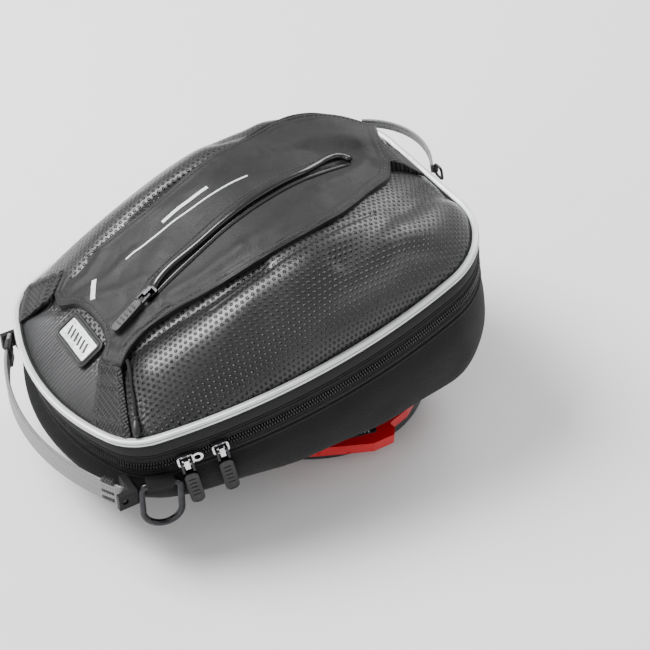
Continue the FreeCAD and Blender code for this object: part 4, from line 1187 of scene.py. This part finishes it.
def make_ring_tabs():
    """Webbing looped round each D-ring's bar and sewn to the bag."""
    inner, wall, drop, half = 2.5, 1.5, 6.0, 8.0
    edge_draw = 0.35 * 0.1
    for side in ("near", "far"):
        place = joint_frame(f"d_ring_{side}_swing", (0, 0, 1))
        angles = np.radians(np.linspace(0, 270, 28)) - math.pi / 2
        outside, hole = [[(-radius * math.sin(a), radius * math.cos(a)) for a in angles]
                         for radius in (inner + wall, inner)]
        loops = []
        for x in (-half, -half + 0.6, *np.linspace(-half + 2, half - 2, 7), half - 0.6, half):
            scale = 1 - edge_draw if abs(x) > half - 0.3 else 1.0
            ring = [(scale * z, y) for z, y in outside] + hole[::-1]
            loops.append([(x, y, z) for z, y in ring])
        points = placed(np.array(loops), place)
        rows, cols = points.shape[:2]
        vertices, faces, _ = surface(points, None, close_cols=True)
        count = len(outside)
        for row, flip in ((0, False), (rows - 1, True)):
            for index in range(count - 1):
                quad = [row * cols + index, row * cols + index + 1, row * cols + cols - 2 - index,
                        row * cols + cols - 1 - index]
                faces.append(quad if flip else quad[::-1])
        piece("tab_loop_" + side, (vertices, faces, None), "bag", MATERIALS["binding"],
              ["ring_tab_" + side], rounded=0.3)
        strap = []
        for y in (-drop - 2, -drop, 0, 3):
            strap.append([(x, y, z) for x, z in ((-half, -inner - wall - 0.5), (half, -inner - wall - 0.5),
                                                 (half, -inner + 0.2), (-half, -inner + 0.2))])
        piece("tab_root_" + side, capped(placed(np.array(strap), place)), "bag", MATERIALS["binding"],
              rounded=0.4)


def make_rear_strap():
    """The strap at the wide end of the lid that holds the small ring."""
    ends, apex = [(133, 63, 1.5), (141.5, -6, 1.5)], (151, 29, 1.5)
    arc_strap("lid_loop_strap", ends, apex, 7.0, 1.6, LID, MATERIALS["pale_webbing"], "lid",
              ["rear_strap"], 2)


def make_ring_link():
    """A small webbing loop that ties the rear strap's end to its ring."""
    place = LID @ Matrix.Translation(Vector((142.3, -6.9, 5.0)) * MM) @ Matrix.Rotation(math.pi / 2, 4, "X")
    rings = ((3.0, 4.4, 0.8, -1.5), (3.6, 5.0, 1.0, -1.0), (3.6, 5.0, 1.0, 1.0), (3.0, 4.4, 0.8, 1.5))
    piece("ring_link", stepped_block(rings, place), "lid", MATERIALS["binding"])


def finish_cad_pieces():
    """The hard pieces keep their CAD shape, with rounded edges and a real finish."""
    finishes = {
        "base_board": ("grey", 0.4), "flange_plate": ("black", 0.5), "outer_ring": ("grey", 0.5),
        "spigot_ring": ("grey", 0.5), "centre_cap": ("grey", 0.5), "release_lever": ("red", 0.9),
        "flange_screws": ("steel", 0.2), "flange_nuts": ("steel", 0.3), "zip_slider_front": ("steel", 0.5),
        "zip_slider_rear": ("steel", 0.5), "zip_pull_front": ("gunmetal", 0.5), "zip_pull_rear": ("gunmetal", 0.5),
        "pocket_slider": ("gunmetal", 0.4), "pocket_pull": ("rubber", 0.5), "d_ring_near": ("gunmetal", 0.0),
        "d_ring_far": ("gunmetal", 0.0), "rear_ring": ("gunmetal", 0.0), "handle_anchor_near": ("binding", 0.8),
        "handle_anchor_far": ("binding", 0.8),
    }
    for name, (material, rounding) in finishes.items():
        obj = frame["nodes"][name]
        obj.data.materials.clear()
        obj.data.materials.append(MATERIALS[material])
        if rounding:
            soften(obj, rounding)


def grip(place, wide, long, middle, thick):
    """A moulded grip's raised rim and cross ribs on both faces, centred at middle along the pull."""
    parts = []
    for turn in (0, math.pi):
        face = place @ Matrix.Translation(Vector(middle) * MM) @ Matrix.Rotation(turn, 4, "Y")
        steps = ((0.1, 0.0), (0.1, 0.5), (0.5, 0.75), (1.2, 0.7), (1.5, 0.2))
        parts.append(stepped_block([(wide - inset, long - inset, wide / 2 - 0.9, thick / 2 - 0.15 + up)
                                    for inset, up in steps], face))
        for index in range(-2, 3):
            spot = Matrix.Translation(Vector((0, index * long * 0.13, 0)) * MM)
            ribs = ((wide * 0.5, 1.1, 0.4, thick / 2 - 0.1), (wide * 0.5, 1.1, 0.4, thick / 2 + 0.3),
                    (wide * 0.44, 0.6, 0.2, thick / 2 + 0.5))
            parts.append(stepped_block(ribs, face @ spot))
    return merged(parts)


def make_pull_grips():
    """The moulded grips on the zip pulls and on the pocket's pull."""
    out_of_lid = LID.to_3x3() @ Vector((0, 0, 1))
    for name in ("rear", "front"):
        place = joint_frame(f"pull_{name}_swing", out_of_lid)
        moulding = grip(place, 8.5, 26.0, (0, -21.0, 0), 2.4)
        piece("pull_grip_" + name, moulding, "pull_" + name, MATERIALS["rubber"])
    joint = joint_named("pocket_pull_swing")
    low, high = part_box("pocket_pull")
    hinge = Vector(joint["pos_m"])
    middle = (low + high) / 2
    x = Vector(joint["axis"]).normalized()
    y = (hinge - middle) - x * (hinge - middle).dot(x)
    y.normalize()
    turn = Matrix((x, y, x.cross(y))).transposed().to_4x4()
    place = Matrix.Translation(hinge) @ turn
    moulding = grip(place, 7.6, 24.0, (0, -17.5, 0), 2.0)
    piece("pocket_pull_grip", moulding, "pocket_pull", MATERIALS["rubber"])


def make_lever_scale():
    """A black plate on the lever's top, beside the bag, for the gap between the lever and the body: the flange's own
    black with the gap's shadow painted in, and plain ticks on it.
    """
    start, end = Vector((-36, -71.5)), Vector((2, -80.0))
    along = (end - start).normalized()
    angle = math.atan2(along.y, along.x)
    _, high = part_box("release_lever")
    middle = (start + end) / 2
    place = (Matrix.Translation((middle.x * MM, middle.y * MM, high.z)) @ Matrix.Rotation(angle, 4, "Z"))
    long = (end - start).length
    # Painted shadow: the plate's black stands for the shaded gap between the lever and the body, over the flange's
    # own black.
    plate = stepped_block([(long, 5.0, 2.0, -0.3), (long, 5.0, 2.0, 0.3), (long - 0.5, 4.5, 1.8, 0.5)], place)
    piece("lever_gap_shadow_plate", plate, "release_lever", MATERIALS["black"])
    ticks = []
    for index in range(11):
        tall = 2.4 if index in (0, 10) else 1.3
        spot = Matrix.Translation(Vector((-10 + 2.4 * index, -0.6, 0)) * MM)
        ticks.append(stepped_block([(0.9, tall, 0.3, 0.4), (0.9, tall, 0.3, 0.62)], place @ spot))
    piece("lever_ticks", merged(ticks), "release_lever", MATERIALS["mark"])


# ---------------------------------------------------------------- stage, lights and camera

def make_stage():
    """A plain floor."""
    size = 6.0
    corners = [(-size, -size, 0), (size, -size, 0), (size, size, 0), (-size, size, 0)]
    mesh = bpy.data.meshes.new("floor")
    mesh.from_pydata(corners, [], [(0, 1, 2, 3)])
    floor = bpy.data.objects.new("floor", mesh)
    bpy.context.scene.collection.objects.link(floor)
    material, tree, shader = new_material("floor_paper")
    speckle = noise(tree, object_place(tree), 40, 3)
    tree.links.new(mixed(tree, speckle, grey(0.86, 0.86), grey(0.88, 0.88)), shader.inputs["Base Color"])
    shader.inputs["Roughness"].default_value = 0.9
    mesh.materials.append(material)


def area_light(name, power, size, place, target=(-0.03, 0, 0.08)):
    """A rectangular light in metres and watts, aimed at the bag."""
    light = bpy.data.lights.new(name, "AREA")
    light.energy = power
    light.shape = "RECTANGLE"
    light.size, light.size_y = size
    obj = bpy.data.objects.new(name, light)
    obj.location = place
    obj.rotation_euler = (Vector(target) - Vector(place)).to_track_quat("-Z", "Y").to_euler()
    bpy.context.scene.collection.objects.link(obj)


def make_lights():
    """An even white room with a key light and three soft fills."""
    world = bpy.data.worlds.new("studio")
    world.use_nodes = True
    world.node_tree.nodes["Background"].inputs["Color"].default_value = (1, 1, 1, 1)
    world.node_tree.nodes["Background"].inputs["Strength"].default_value = 0.58
    bpy.context.scene.world = world
    area_light("key", 66, (0.9, 0.9), (-0.75, 0.75, 1.5))
    area_light("front", 5, (1.2, 0.6), (-1.4, -0.5, 0.7))
    area_light("side", 5, (1.4, 0.4), (0.9, -1.4, 0.9))
    area_light("back", 20, (1.2, 0.6), (1.3, 0.7, 1.2))


def make_camera():
    """The photograph's view."""
    camera = bpy.data.cameras.new("camera")
    camera.lens = 94.6
    camera.sensor_width = 36
    camera.clip_start = 0.01
    obj = bpy.data.objects.new("camera", camera)
    look = Vector((0.4004, 0.6456, -0.6502))
    obj.location = (-0.4323, -0.7192, 0.7642)
    obj.rotation_euler = look.to_track_quat("-Z", "Y").to_euler()
    bpy.context.scene.collection.objects.link(obj)
    bpy.context.scene.camera = obj


make_camera()
make_cord()
make_lid_shell()
make_piping_and_band()
make_zip()
make_panel()
make_front_leg("near", -1)
make_front_leg("far", 1)
make_rear_tab()
make_badge()
make_marks()
make_body()
make_hinge_cloth()
make_handle()
make_rear_strap()
make_ring_tabs()
make_pull_grips()
make_lever_scale()
make_ring_link()
finish_cad_pieces()
make_stage()
make_lights()
